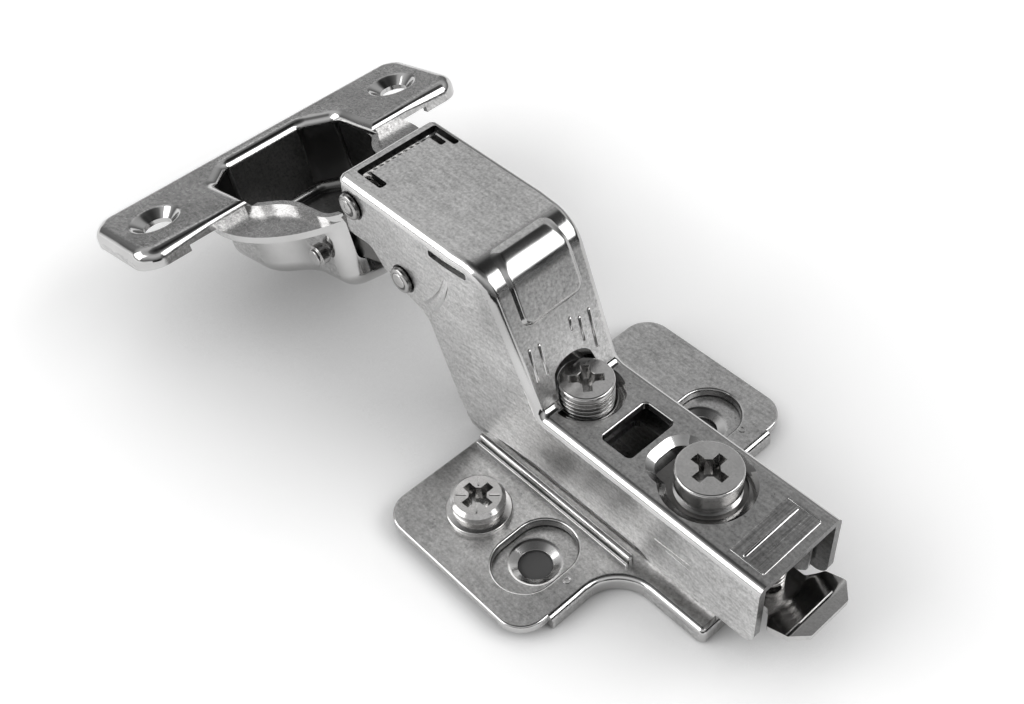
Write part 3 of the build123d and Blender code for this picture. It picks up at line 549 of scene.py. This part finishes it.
def ring_bead(bm, centre, axis, radius, width, height, steps):
    """Low raised ring on a face."""
    foot, shoulder, half, slope = -0.05, height * 0.8, width / 2, width * 0.3
    lathe(bm, centre, axis, [(radius - half, foot), (radius - slope, shoulder),
                             (radius, height), (radius + slope, shoulder),
                             (radius + half, foot), (radius - half, foot)], steps)


# ---------------------------------------------------------------- geometry nodes
def row_tree(material):
    """Node tree that sets out a row of raised dashes from a start, step by step."""
    tree = bpy.data.node_groups.new("row_of_dashes", "GeometryNodeTree")
    face = tree.interface
    face.new_socket("Geometry", in_out="OUTPUT", socket_type="NodeSocketGeometry")
    for name, kind, default in (("Count", "NodeSocketInt", 10),
                                ("Start", "NodeSocketVector", (0, 0, 0)),
                                ("Step", "NodeSocketVector", (0, 0.001, 0)),
                                ("Dash", "NodeSocketVector", (0.0002, 0.0005, 0.0001))):
        socket = face.new_socket(name, in_out="INPUT", socket_type=kind)
        socket.default_value = default
    put = tree.nodes.new
    given, result = put("NodeGroupInput"), put("NodeGroupOutput")
    line, cube = put("GeometryNodeMeshLine"), put("GeometryNodeMeshCube")
    copies, real = put("GeometryNodeInstanceOnPoints"), put("GeometryNodeRealizeInstances")
    paint = put("GeometryNodeSetMaterial")
    paint.inputs["Material"].default_value = material
    link = tree.links.new
    link(given.outputs["Count"], line.inputs["Count"])
    link(given.outputs["Start"], line.inputs["Start Location"])
    link(given.outputs["Step"], line.inputs["Offset"])
    link(given.outputs["Dash"], cube.inputs["Size"])
    link(line.outputs["Mesh"], copies.inputs["Points"])
    link(cube.outputs["Mesh"], copies.inputs["Instance"])
    link(copies.outputs["Instances"], real.inputs["Geometry"])
    link(real.outputs["Geometry"], paint.inputs["Geometry"])
    link(paint.outputs["Geometry"], result.inputs[0])
    return tree


def row_of_dashes(name, node, count, start, step, dash):
    """Plain mesh of a row of dashes; places and sizes in millimetres."""
    piece = add_object(name, bpy.data.meshes.new(name))
    tree = row_tree(finish_of(node_slot(node)))
    rows = piece.modifiers.new("row", "NODES")
    rows.node_group = tree
    values = {"Count": count, "Start": [v * MM for v in start],
              "Step": [v * MM for v in step], "Dash": [v * MM for v in dash]}
    for item in tree.interface.items_tree:
        if item.in_out == "INPUT" and item.name in values:
            rows[item.identifier] = values[item.name]
    bake_modifiers(piece)
    settle(piece, node)


# ---------------------------------------------------------------- settings
class HingeLook(bpy.types.PropertyGroup):
    """Sizes, colours and levels that a user would change"""
    edge_break: bpy.props.FloatProperty(
        name="Edge break", description="Width of the broken sheet edges",
        default=0.00011, unit="LENGTH", precision=6)
    flange_edge: bpy.props.FloatProperty(
        name="Flange edge", description="Radius of the cup flange's upper rim",
        default=0.0019, unit="LENGTH", precision=6)
    mouth_edge: bpy.props.FloatProperty(
        name="Mouth edge", description="Radius of the cup mouth's rolled edge",
        default=0.0016, unit="LENGTH", precision=6)
    flange_corner: bpy.props.FloatProperty(
        name="Flange corner", description="Radius of the cup flange's corners in plan",
        default=0.0032, unit="LENGTH", precision=6)
    boss_height: bpy.props.FloatProperty(
        name="Boss height", description="Rise of the stiffening boss on the crank",
        default=0.00035, unit="LENGTH", precision=6)
    dash_count: bpy.props.IntProperty(
        name="Dashes", description="Dashes in each row of the rear panel", default=18, min=2)
    floor_colour: bpy.props.FloatVectorProperty(
        name="Floor", description="Colour of the pale floor", subtype="COLOR",
        size=3, default=(0.96, 0.96, 0.96))
    floor_lift: bpy.props.FloatProperty(
        name="Floor lift", description="Glow that brings the floor up to white", default=0.42)
    room_level: bpy.props.FloatProperty(
        name="Room", description="Level of the room round the lamps", default=1.0)
    lamp_level: bpy.props.FloatProperty(
        name="Lamps", description="How bright the faces of the soft lamps look", default=3.5)
    lens: bpy.props.FloatProperty(
        name="Lens", description="Focal length of the camera in millimetres",
        default=46.85, unit="CAMERA")


def look():
    return bpy.context.scene.hinge_look


# ---------------------------------------------------------------- stage
# metres and degrees; the camera's azimuth is measured from -Y towards +X
CAMERA_PLACE = (0.08128, -0.07832, 0.14684)
CAMERA_AZIMUTH, CAMERA_ELEVATION, CAMERA_ROLL = 50.82, 47.16, -4.75
FLOOR_HALF, FLOOR_DROP = 2, 0.00002
LAMP_DISTANCE = 1.1
# each lamp's direction from the origin, and its size in metres
LAMPS = {"left_box": ((-0.50, -0.75, 0.50), (1.0, 0.7)),
         "right_box": ((0.62, 0.46, 0.62), (0.9, 0.6))}
# corners in millimetres
DARK_CARDS = {
    "front_card": [(66, -190, 0), (118, -45, 0), (118, -45, 46), (66, -190, 46)],
    "right_card": [(118, -20, 12), (150, 220, 12), (150, 220, 50), (118, -20, 50)],
}
# level of the room by height: 0 is straight down, 0.5 the horizon, 1 overhead
ROOM_LEVELS = [(0.0, 0.8), (0.49, 0.97), (0.535, 0.96), (0.557, 0.13), (0.60, 0.2),
               (0.68, 0.44), (0.81, 0.82), (0.88, 0.74), (0.915, 0.62), (0.94, 0.22),
               (1.0, 0.04)]
# darker patches of the room: direction, cosines of the rim and the core, how dark
ROOM_PATCHES = [((-0.30, 0.60, 0.74), 0.93, 0.995, 0.25),
                ((0.85, 0.45, 0.27), 0.80, 0.95, 0.93),
                ((0.12, 0.47, 0.87), 0.92, 0.98, 0.85)]


def camera_turn():
    """Camera's turn from its azimuth, elevation and roll."""
    az, el, roll = (math.radians(a) for a in (CAMERA_AZIMUTH, CAMERA_ELEVATION, CAMERA_ROLL))
    back = Vector((math.sin(az) * math.cos(el), -math.cos(az) * math.cos(el), math.sin(el)))
    right = Vector((math.cos(az), math.sin(az), 0))
    up = back.cross(right)
    c, s = math.cos(roll), math.sin(roll)
    return Matrix((c * right + s * up, -s * right + c * up, back)).transposed().to_4x4()


def four_sided(name, corners):
    """Flat sheet of the stage, by its corners in metres."""
    mesh = bpy.data.meshes.new(name)
    mesh.from_pydata(corners, [], [(0, 1, 2, 3)])
    return add_object(name, mesh)


class HINGE_OT_stage(bpy.types.Operator):
    """Sets the camera, the pale floor, the room, the dark cards and the soft lamps"""
    bl_idname = "hinge.stage"
    bl_label = "Stage"

    def execute(self, context):
        scene = context.scene
        scene.camera = add_object("camera", bpy.data.cameras.new("camera"))
        scene.camera.data.lens = look().lens
        scene.camera.data.sensor_width = 36.0
        scene.camera.data.clip_start = 0.01
        scene.camera.matrix_world = Matrix.Translation(CAMERA_PLACE) @ camera_turn()
        self.floor()
        self.surround(scene)
        for name, corners in DARK_CARDS.items():
            self.dark_card(name, corners)
        for name, (way, size) in LAMPS.items():
            self.lamp(name, way, size)
        scene.view_settings.view_transform = "Standard"
        return {"FINISHED"}

    def floor(self):
        half = FLOOR_HALF
        floor = four_sided("floor", [(-half, -half, 0), (half, -half, 0), (half, half, 0),
                                     (-half, half, 0)])
        floor.location = (0, 0, -FLOOR_DROP)
        floor.data.materials.append(self.floor_finish())

    def floor_finish(self):
        """White floor with a painted soft contact shadow near the hinge, and painted shadow
        under the fixing plate where its holes show the floor.
        """
        cloud_tone, under_plate_shadow, shadow_tone, shadow_reach = -0.02, 0.85, 0.5, 0.05
        near, far, far_lift = 0.3, 1.2, 0.86
        core, rim = 0.004, 0.002
        shader = Shader(bpy.data.materials.new("pale_floor"))
        place = shader.place()
        low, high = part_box("fixing_plate")
        under = 1.0
        for axis, name in enumerate("XY"):
            mid, half = (low[axis] + high[axis]) / 2, (high[axis] - low[axis]) / 2
            along = shader.part(place, name)
            under = (along - mid).size().fade(half - core, half - rim) * under
        open_sky = shader.make("AmbientOcclusion", {"samples": 8},
                               {"Distance": shadow_reach}, output="AO")
        cloud = shader.noise(place, 6.0) * cloud_tone
        # painted shadow: darker under the fixing plate and where ambient occlusion finds the
        # hinge
        painted_floor_shadow = (1 - under * under_plate_shadow) * (open_sky * shadow_tone + (1 - shadow_tone))
        colour = shader.make("CombineColor", {"mode": "RGB"},
                             [(cloud + level) * painted_floor_shadow for level in look().floor_colour])
        seen = shader.ray("Camera") + shader.ray("Glossy") + shader.ray("Transmission")
        away = shader.make("VectorMath", {"operation": "LENGTH"}, [place], output="Value")
        lift = away.ramp(near, far, look().floor_lift, far_lift)
        # the glow keeps the same painted shadow, and is weaker near the hinge than far away
        glow = seen * open_sky * open_sky * (1 - under) * lift
        return shader.surface(Base_Color=colour, Roughness=0.9,
                              Emission_Color=shader.tinted(glow, 0.0),
                              Emission_Strength=1.0)

    def surround(self, scene):
        """Room for the metal to show: white to the horizon, banded above, dark overhead."""
        scene.world = bpy.data.worlds.new("surround")
        shader = Shader(scene.world)
        diffuse_tone = 0.55
        way = shader.make("TexCoord", output="Generated")
        height = shader.part(way, "Z") * 0.5 + 0.5
        level = shader.make("ValToRGB", {"stops": ROOM_LEVELS}, [height])
        for direction, rim, core, depth in ROOM_PATCHES:
            match = shader.dot(way, Vector(direction).normalized())
            level = level * (1 - match.ramp(rim, core) * depth)
        level = level * (1 - shader.ray("Diffuse") * diffuse_tone)
        shader.end("World", shader.make("Background", {},
                                        {"Color": level, "Strength": look().room_level}))

    def dark_card(self, name, corners):
        """Black card beside the object, seen in the metal only."""
        card = four_sided(name, [Vector(corner) * MM for corner in corners])
        shader = Shader(bpy.data.materials.new(name))
        cloud = shader.noise(shader.place(), 20.0)
        card.data.materials.append(
            shader.surface(Base_Color=shader.tinted(cloud * 0.01 + 0.01), Roughness=0.9))
        card.visible_camera = card.visible_diffuse = card.visible_shadow = False

    def lamp(self, name, way, size):
        """Soft lamp in a direction, as bright as its face should look."""
        light = bpy.data.lights.new(name, "AREA")
        light.shape = "RECTANGLE"
        light.size, light.size_y = size
        light.energy = look().lamp_level * math.pi * size[0] * size[1]
        lamp = add_object(name, light)
        way = Vector(way).normalized()
        lamp.location = way * LAMP_DISTANCE
        lamp.rotation_euler = (-way).to_track_quat("-Z", "Y").to_euler()


# ---------------------------------------------------------------- reshaped sheets
# how far under the flange's face a rounded rim starts
SKIM = 0.003


def mirrored_path(half):
    """Points of a path and its mirror image in v, with its inner corners as arcs.

    half is a list of (u, v, radius) that ends where the path crosses the middle.
    """
    steps = 7
    corners = half + [(u, -v, radius) for u, v, radius in reversed(half)]
    points = [Vector(corners[0][:2])]
    for before, here, after in zip(corners, corners[1:], corners[2:]):
        at, radius = Vector(here[:2]), here[2]
        one, two = (Vector(before[:2]) - at).normalized(), (Vector(after[:2]) - at).normalized()
        half_angle = one.angle(two) / 2
        run = radius / math.tan(half_angle)
        centre = at + (one + two).normalized() * radius / math.sin(half_angle)
        start, end = at + one * run - centre, at + two * run - centre
        turn = start.angle_signed(end)
        for k in range(steps + 1):
            points.append(centre + Matrix.Rotation(-turn * k / steps, 2) @ start)
    points.append(Vector(corners[-1][:2]))
    return points


def rim_cutter(points, inside, radii, shave, low):
    """Solid along a path that rounds a rim.

    inside tells which way the sheet lies, shave how far the cut goes into its side, and
    low gives the height that the cut reaches down to for a radius.
    """
    outside, above, steps = -3.0, FLANGE_TOP + 1, 8
    bm = bmesh.new()
    rings = []
    for i, (at, radius) in enumerate(zip(points, radii)):
        before, after = points[max(i - 1, 0)], points[min(i + 1, len(points) - 1)]
        along = (after - before).normalized()
        inward = Vector((-along.y, along.x)) * inside
        profile = [(outside, above), (outside, low(radius)), (shave, low(radius))]
        for k in range(steps + 1):
            t = math.radians(90 * k / steps)
            profile.append((shave + radius * (1 - math.cos(t)),
                            FLANGE_TOP - SKIM - radius * (1 - math.sin(t))))
        profile.append((shave + radius, above))
        rings.append([bm.verts.new(cup_point(at.x + inward.x * d, at.y + inward.y * d, w) * MM)
                      for d, w in profile])
    tube(bm, rings)
    return bm


def soft_flange(piece):
    """Rounds the flange's rim, its corners and the mouth's edge, as deep drawing does."""
    end, back, front, cut = FLANGE_END, FLANGE_BACK, FLANGE_FRONT, FLANGE_CUT
    turn, edge = look().flange_corner / MM, look().flange_edge / MM
    points = mirrored_path([(front, FLANGE_NECK, 0), (front, end - cut, turn),
                            (front - cut, end, turn), (back + cut, end, turn),
                            (back, end - cut, turn)])
    radii = [NECK_EDGE] + [edge] * (len(points) - 2) + [NECK_EDGE]
    cut_by(piece, rim_cutter(points, 1, radii, shave=0.02,
                             low=lambda radius: FLANGE_LOW - 1), "DIFFERENCE")
    turn, edge = MOUTH_CORNER, look().mouth_edge / MM
    points = mirrored_path([(MOUTH_FRONT, MOUTH_HALF, 0), (MOUTH_TURN_U, MOUTH_HALF, turn),
                            (MOUTH_BACK_U, MOUTH_SIDE, turn)])
    cut_by(piece, rim_cutter(points, -1, [edge] * len(points), shave=-0.01,
                             low=lambda radius: FLANGE_TOP - radius - SKIM), "DIFFERENCE")


def narrow_bore(piece):
    """Carries the crank's sheet further down over the side screw's bore."""
    thick, reach, low_x, deep, high_run = 1.1, 3.4, -2.48, 0.8, 15.2
    count, spill, spill_step = 24, 3, 0.3
    bm = bmesh.new()
    outer, inner = [], []
    for j in range(-spill, count + spill + 1):
        t = min(max(j / count, 0), 1)
        y = -reach * math.cos(math.pi * t)
        y += min(j, 0) * spill_step + max(j - count, 0) * spill_step
        share = math.sqrt(max(1 - (y / reach) ** 2, 0))
        low_run = SLOPE_RUN + (low_x - deep * share - SLOPE_X) / SLOPE_DRIFT
        for line, inset in ((outer, 0), (inner, thick)):
            pair = []
            for run in (low_run, high_run):
                place, normal = arm_line(run)
                pair.append(bm.verts.new((place + Vector((0, y, 0)) - normal * inset) * MM))
            line.append(pair)
    for k in range(len(outer) - 1):
        for line in (outer, inner):
            bm.faces.new((line[k][0], line[k + 1][0], line[k + 1][1], line[k][1]))
        for end in (0, 1):
            bm.faces.new((outer[k][end], outer[k + 1][end], inner[k + 1][end], inner[k][end]))
    for k in (0, -1):
        bm.faces.new((outer[k][0], outer[k][1], inner[k][1], inner[k][0]))
    cut_by(piece, bm, "UNION")


# ---------------------------------------------------------------- painted shade of the hidden faces
# how dark the painted shade is: on the hidden faces, and deepest in the nose slot
PAINTED_SHADE, PAINTED_SHADE_DEEP = 0.6, 0.85


def bowl_shade(face):
    """Painted shade on the inside of the bowl, 0 elsewhere."""
    place = face.calc_center_median() / MM - CUP_CENTRE
    u, v, w = place.dot(CUP_U), place.y, place.dot(CUP_W)
    inward = face.normal.dot(-(CUP_U * u + Vector((0, v, 0))).normalized())
    if not BOWL_FLOOR <= w <= BOWL_TOP:
        return 0.0
    if face.normal.dot(CUP_W) > 0.5:
        return PAINTED_SHADE if w < BOWL_LEDGE else 0.0
    return PAINTED_SHADE if inward > 0.1 else 0.0


def opening_shade(face):
    """Painted shade on the walls of the wings' openings, where the recess lies in shadow."""
    mid_x, half_x, near_y, far_y = 6.0, 5.2, 9.0, 23.0
    place = face.calc_center_median() / MM
    inside = abs(place.x - mid_x) < half_x and near_y < abs(place.y) < far_y
    return PAINTED_SHADE if inside and abs(face.normal.z) < 0.75 else 0.0


def inside_shade(face):
    """Painted shade on the arm's inner faces and on the walls of the nose slot."""
    tail_x, tail_under, crank_x, nose_x, nose_under = 2, 15.7, -9, -14, 35.6
    slot_back, slot_front, slot_half, slot_low = -36.6, -30.4, 7.6, 34.5
    place = face.calc_center_median() / MM
    half = NOSE_HALF if place.x < crank_x else TAIL_HALF
    if abs(place.y) < half - 1.0 and face.normal.z < 0.3:
        if place.x > tail_x and place.z < tail_under:
            return PAINTED_SHADE
        if place.x < nose_x and place.z < nose_under:
            return PAINTED_SHADE
        if face.normal.x < -0.5 and abs(place.y) < half - 1.5:
            return PAINTED_SHADE
    inward = -face.normal.y if place.y > 0 else face.normal.y
    if abs(place.y) < half - 0.9 and inward > 0.5 and place.z < nose_under:
        return PAINTED_SHADE
    # deepest painted shade on the walls of the nose slot, which look black
    slot = slot_back < place.x < slot_front and abs(place.y) < slot_half
    return PAINTED_SHADE_DEEP if slot and place.z > slot_low and abs(face.normal.z) < 0.5 else 0.0


# ---------------------------------------------------------------- pieces
# side lines of the curved tab, as (x, z) from the slot down to the wall's lower edge
TAB_OUTER = [(-15.9, 31.6), (-16.1, 30.2), (-16.6, 28.7), (-17.2, 27.3), (-18.0, 25.9),
             (-19.0, 24.3), (-20.0, 23.0)]
TAB_INNER = [(-16.9, 31.7), (-17.4, 30.3), (-18.1, 28.9), (-18.9, 27.6), (-19.8, 26.4),
             (-21.0, 25.0), (-22.2, 23.9)]
# upper and lower end of each rib on the crank, as (run along the arm's line, y)
RIBS = [((14.6, 1.8), (16.6, 1.6)), ((15.3, 3.2), (19.0, 2.9)), ((15.1, 4.95), (20.9, 4.45)),
        ((15.2, -3.8), (20.0, -4.1)), ((15.0, -5.4), (20.0, -5.8))]
# front and rear end of each line on the tail's walls, as (x, z)
WALL_LINES = [((18.8, 10.75), (24.65, 11.06)), ((20.7, 10.14), (24.5, 9.95))]
PUNCH_MARKS, WING_TOP = [(11.7, -15.7), (11.2, 18.6)], 2.6
CAM_CENTRE, TICK_START, TICK_END = (-4.4, -16.3), 1.45, 3.0
# riveted head with a ring pressed into its face: radius, height over the wall, painted shade of
# its dark rim and ring
PIN_HEAD = [(1.2, -0.05), (2.14, -0.05, 0.95), (2.14, 0.03, 0.95), (1.86, 0.04, 0.8),
            (1.92, 0.14, 0.6), (1.92, 0.55, 0.55), (1.82, 0.72, 0.3), (1.66, 0.82, 0.1),
            (1.34, 0.86, 0.6), (1.22, 0.82, 0.85), (1.1, 0.74, 0.85), (0.9, 0.74, 0.7),
            (0.78, 0.82), (0.5, 0.87), (0, 0.9)]


class HINGE_OT_sheets(bpy.types.Operator):
    """Dresses the pressed sheets with broken edges and nickel plate"""
    bl_idname = "hinge.sheets"
    bl_label = "Pressed sheets"

    def execute(self, context):
        edge = look().edge_break
        dressed("cup", edge, shade=bowl_shade, reshape=soft_flange)
        dressed("arm", edge, 19.0, inside_shade, narrow_bore)
        dressed("cross_plate", edge, shade=opening_shade)
        for node in ("fixing_plate", "adapter", "clip_lever",
                     "depth_slider", "outer_link", "inner_link"):
            dressed(node, edge)
        return {"FINISHED"}


class HINGE_OT_turned(bpy.types.Operator):
    """Dresses the turned screws, cams, pins, rivets and springs"""
    bl_idname = "hinge.turned"
    bl_label = "Screws, pins and springs"

    def execute(self, context):
        edge = look().edge_break
        for node in ("height_cam", "depth_cam", "side_screw"):
            dressed(node, edge * 0.7)
        for node in ("arm_pin_front", "arm_pin_rear", "cup_stub_left", "cup_stub_right",
                     "cup_pin", "lever_pin", "guide_rivet_front", "guide_rivet_rear"):
            dressed(node, edge)
        dressed("closing_spring", 0)
        self.pressed(dressed("lever_spring", 0))
        return {"FINISHED"}

    def pressed(self, spring):
        """Works out how far the lever's spring would shorten as the lever goes down on it, and
        gives the spring a mesh of its own; the spring keeps its length.
        """
        joint = next(j for j in frame["record"]["behaviour"]["joints"]
                     if j["name"] == "lever_press")
        low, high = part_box("lever_spring")
        arm = high.x - joint["pos_m"][0]
        rise = arm * math.sin(math.radians(abs(joint["range_deg"][0])))
        1 - rise / (high.z - low.z)
        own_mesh(spring)


class HINGE_OT_crank(bpy.types.Operator):
    """Makes the stiffening boss and the pressed ribs on the arm's crank"""
    bl_idname = "hinge.crank"
    bl_label = "Crank boss and ribs"
    # the boss's reach along the arm's line and across it
    runs, ys = (0.6, 12.6), (-5.2, 5.5)

    def execute(self, context):
        self.boss()
        bm = bmesh.new()
        for rib in RIBS:
            ends = []
            for run, y in rib:
                place, normal = arm_line(run)
                ends.append(place + Vector((0, y, 0)))
            bar(bm, *ends, Y_WAY, normal, width=0.5, height=0.22)
        from_bmesh("crank_ribs", bm, "arm")
        return {"FINISHED"}

    def boss(self):
        """Sheet pressed outwards over the crest, fading into the arm at its border."""
        height, sunk, thick = look().boss_height / MM, 0.04, 0.0003
        run_steps, y_steps = 64, 48
        bm = bmesh.new()
        grid = []
        for i in range(run_steps + 1):
            run = self.runs[0] + (self.runs[1] - self.runs[0]) * i / run_steps
            place, normal = arm_line(run)
            row = []
            for j in range(y_steps + 1):
                y = self.ys[0] + (self.ys[1] - self.ys[0]) * j / y_steps
                share = self.boss_share(run, y)
                rise = height * share - sunk * (1 - share)
                row.append(bm.verts.new((place + Vector((0, y, 0)) + normal * rise) * MM))
            grid.append(row)
        sheet(bm, grid)
        rim, low = border(grid), []
        for vert in rim:
            way = vert.co - CREST_CENTRE * MM
            way.y = 0
            low.append(bm.verts.new(vert.co - way.normalized() * thick))
        bridge(bm, rim, low)
        self.close_under(bm, grid, dict(zip(rim, low)))
        from_bmesh("crank_boss", bm, "arm", 60)

    def close_under(self, bm, grid, below):
        """Closes the boss underneath, row by row, from border to border."""
        rows = [grid[0]] + [[row[0], row[-1]] for row in grid[1:-1]] + [grid[-1]]
        for one, two in zip(rows, rows[1:]):
            bm.faces.new([below[vert] for vert in one + two[::-1]])

    def boss_share(self, run, y):
        """0 at the rounded border, 1 within it, with a soft shoulder that is wider on top."""
        corner, soft, softer, top_run = 1.7, 0.75, 1.6, 4.5
        mid_y, half_y = sum(self.ys) / 2, (self.ys[1] - self.ys[0]) / 2
        mid_run, half_run = sum(self.runs) / 2, (self.runs[1] - self.runs[0]) / 2
        off_y, off_run = abs(y - mid_y), abs(run - mid_run)
        away = corner - math.hypot(max(off_y - (half_y - corner), 0),
                                   max(off_run - (half_run - corner), 0))
        away = min(away, half_y - off_y, half_run - off_run)
        top_fade = min(max((run - self.runs[0]) / top_run, 0), 1)
        share = min(max(away / (soft + softer * (1 - top_fade)), 0), 1)
        return share * share * (3 - 2 * share)


class HINGE_OT_tail(bpy.types.Operator):
    """Makes the pressed panel on the arm's tail"""
    bl_idname = "hinge.tail"
    bl_label = "Tail panel"

    def execute(self, context):
        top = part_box("arm")[1][2] / MM - NOSE_TOP + TAIL_TOP
        front, rear, middle = 28.65, 33.65, 30.5
        bm = bmesh.new()
        bar(bm, (rear, -5.45, top), (rear, 4.95, top), X_WAY, Z_WAY, width=0.26, height=0.09)
        for y in (-5.4, 5.0):
            bar(bm, (front, y, top), (rear - 0.05, y, top), Y_WAY, Z_WAY, width=0.2,
                height=0.07)
        bar(bm, (middle, -5.1, top), (middle, 4.75, top), X_WAY, Z_WAY, width=0.5,
            height=0.16)
        from_bmesh("tail_panel", bm, "arm")
        first, length, wide, tall = -5.2, 10.0, 0.13, 0.09
        count = look().dash_count
        step = length / (count - 1)
        for name, x in (("tail_dashes_front", 28.7), ("tail_dashes_rear", 32.05)):
            row_of_dashes(name, "arm", count, (x, first, top), (0, step, 0),
                          (wide, step * 0.6, tall))
        return {"FINISHED"}


class HINGE_OT_walls(bpy.types.Operator):
    """Makes the curved tabs and the small marks on the arm's and plate's faces"""
    bl_idname = "hinge.walls"
    bl_label = "Wall marks"

    def execute(self, context):
        bm = bmesh.new()
        for side in (-1, 1):
            self.curved_tab(bm, side)
        from_bmesh("arm_curved_tabs", bm, "arm", 50)
        bm = bmesh.new()
        for side in (-1, 1):
            for line in WALL_LINES:
                bar(bm, *((x, side * TAIL_HALF, z) for x, z in line), Z_WAY, (0, side, 0),
                    width=0.2, height=0.07)
        from_bmesh("tail_wall_lines", bm, "arm")
        bm = bmesh.new()
        for x, y in PUNCH_MARKS:
            ring_bead(bm, (x, y, WING_TOP), Z_WAY, radius=0.42, width=0.3, height=0.12,
                      steps=24)
        from_bmesh("plate_punch_marks", bm, "cross_plate")
        return {"FINISHED"}

    def curved_tab(self, bm, side):
        """Pressed curved strip that runs from the slot to the wall's lower edge."""
        height, sunk, thick, count = 0.24, 0.03, 0.2, 8
        y = side * NOSE_HALF
        grid = []
        for (ox, oz), (ix, iz) in zip(TAB_OUTER, TAB_INNER):
            row = []
            for k in range(count + 1):
                t = k / count
                rise = height * min(1.0, t * 5, (1 - t) * 5) - sunk
                row.append(bm.verts.new(Vector((ox + (ix - ox) * t, y + side * rise,
                                                oz + (iz - oz) * t)) * MM))
            grid.append(row)
        for vert in grid[0] + grid[-1]:
            vert.co.y = (y - side * sunk) * MM
        sheet(bm, grid)
        rim = border(grid)
        low = [bm.verts.new((vert.co.x, (y - side * thick) * MM, vert.co.z)) for vert in rim]
        bridge(bm, rim, low)
        bm.faces.new(low)


class HINGE_OT_heads(bpy.types.Operator):
    """Makes the small turned details on pin ends, cams and lever"""
    bl_idname = "hinge.heads"
    bl_label = "Head details"

    def execute(self, context):
        self.pin_heads("arm_pin_front", 0.5)
        self.pin_heads("arm_pin_rear", 0.25)
        self.cam_ticks()
        self.lever_line()
        return {"FINISHED"}

    def pin_heads(self, node, shift):
        """Riveted heads on the arm's walls, a little off the pin's own centre."""
        low, high = (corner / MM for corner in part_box(node))
        centre = (low + high) / 2
        bm = bmesh.new()
        for side in (-1, 1):
            foot = (centre.x + shift, side * NOSE_HALF, centre.z + 0.05)
            lathe(bm, foot, (0, side, 0), PIN_HEAD, steps=40)
        from_bmesh(node + "_heads", bm, node)

    def cam_ticks(self):
        """Four fine lines on the height cam, between the arms of its recess."""
        centre = Vector((*CAM_CENTRE, (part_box("height_cam")[1] / MM).z))
        bm = bmesh.new()
        for turn in (45, 135, 225, 315):
            way = Vector((math.cos(math.radians(turn)), math.sin(math.radians(turn)), 0))
            across = Vector((-way.y, way.x, 0))
            bar(bm, centre + way * TICK_START, centre + way * TICK_END, across, Z_WAY,
                width=0.3, height=0.05)
        from_bmesh("height_cam_ticks", bm, "height_cam")

    def lever_line(self):
        """Fine pressed line across the lever's thumb rest."""
        half, top = 3.1, 8.66
        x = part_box("clip_lever")[1].x / MM - 2.15
        bm = bmesh.new()
        bar(bm, (x, -half, top), (x, half, top), X_WAY, Z_WAY, width=0.2, height=0.1)
        from_bmesh("lever_line", bm, "clip_lever")


class HINGE_PT_panel(bpy.types.Panel):
    """Lists the hinge's makers"""
    bl_label = "Hinge"
    bl_idname = "HINGE_PT_panel"
    bl_space_type = "VIEW_3D"
    bl_region_type = "UI"
    bl_category = "Hinge"

    def draw(self, context):
        for setting in HingeLook.__annotations__:
            self.layout.prop(look(), setting)
        for operator in OPERATORS:
            self.layout.operator(operator.bl_idname)


OPERATORS = (HINGE_OT_stage, HINGE_OT_sheets, HINGE_OT_turned, HINGE_OT_crank, HINGE_OT_tail,
             HINGE_OT_walls, HINGE_OT_heads)
CLASSES = (HingeLook, *OPERATORS, HINGE_PT_panel)


def register():
    for item in CLASSES:
        bpy.utils.register_class(item)
    bpy.types.Scene.hinge_look = bpy.props.PointerProperty(type=HingeLook)


def unregister():
    del bpy.types.Scene.hinge_look
    for item in reversed(CLASSES):
        bpy.utils.unregister_class(item)


def main():
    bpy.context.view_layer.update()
    register()
    bpy.ops.hinge.stage()
    bpy.ops.hinge.sheets()
    bpy.ops.hinge.turned()
    bpy.ops.hinge.crank()
    bpy.ops.hinge.tail()
    bpy.ops.hinge.walls()
    bpy.ops.hinge.heads()


if __name__ == "__main__":
    main()
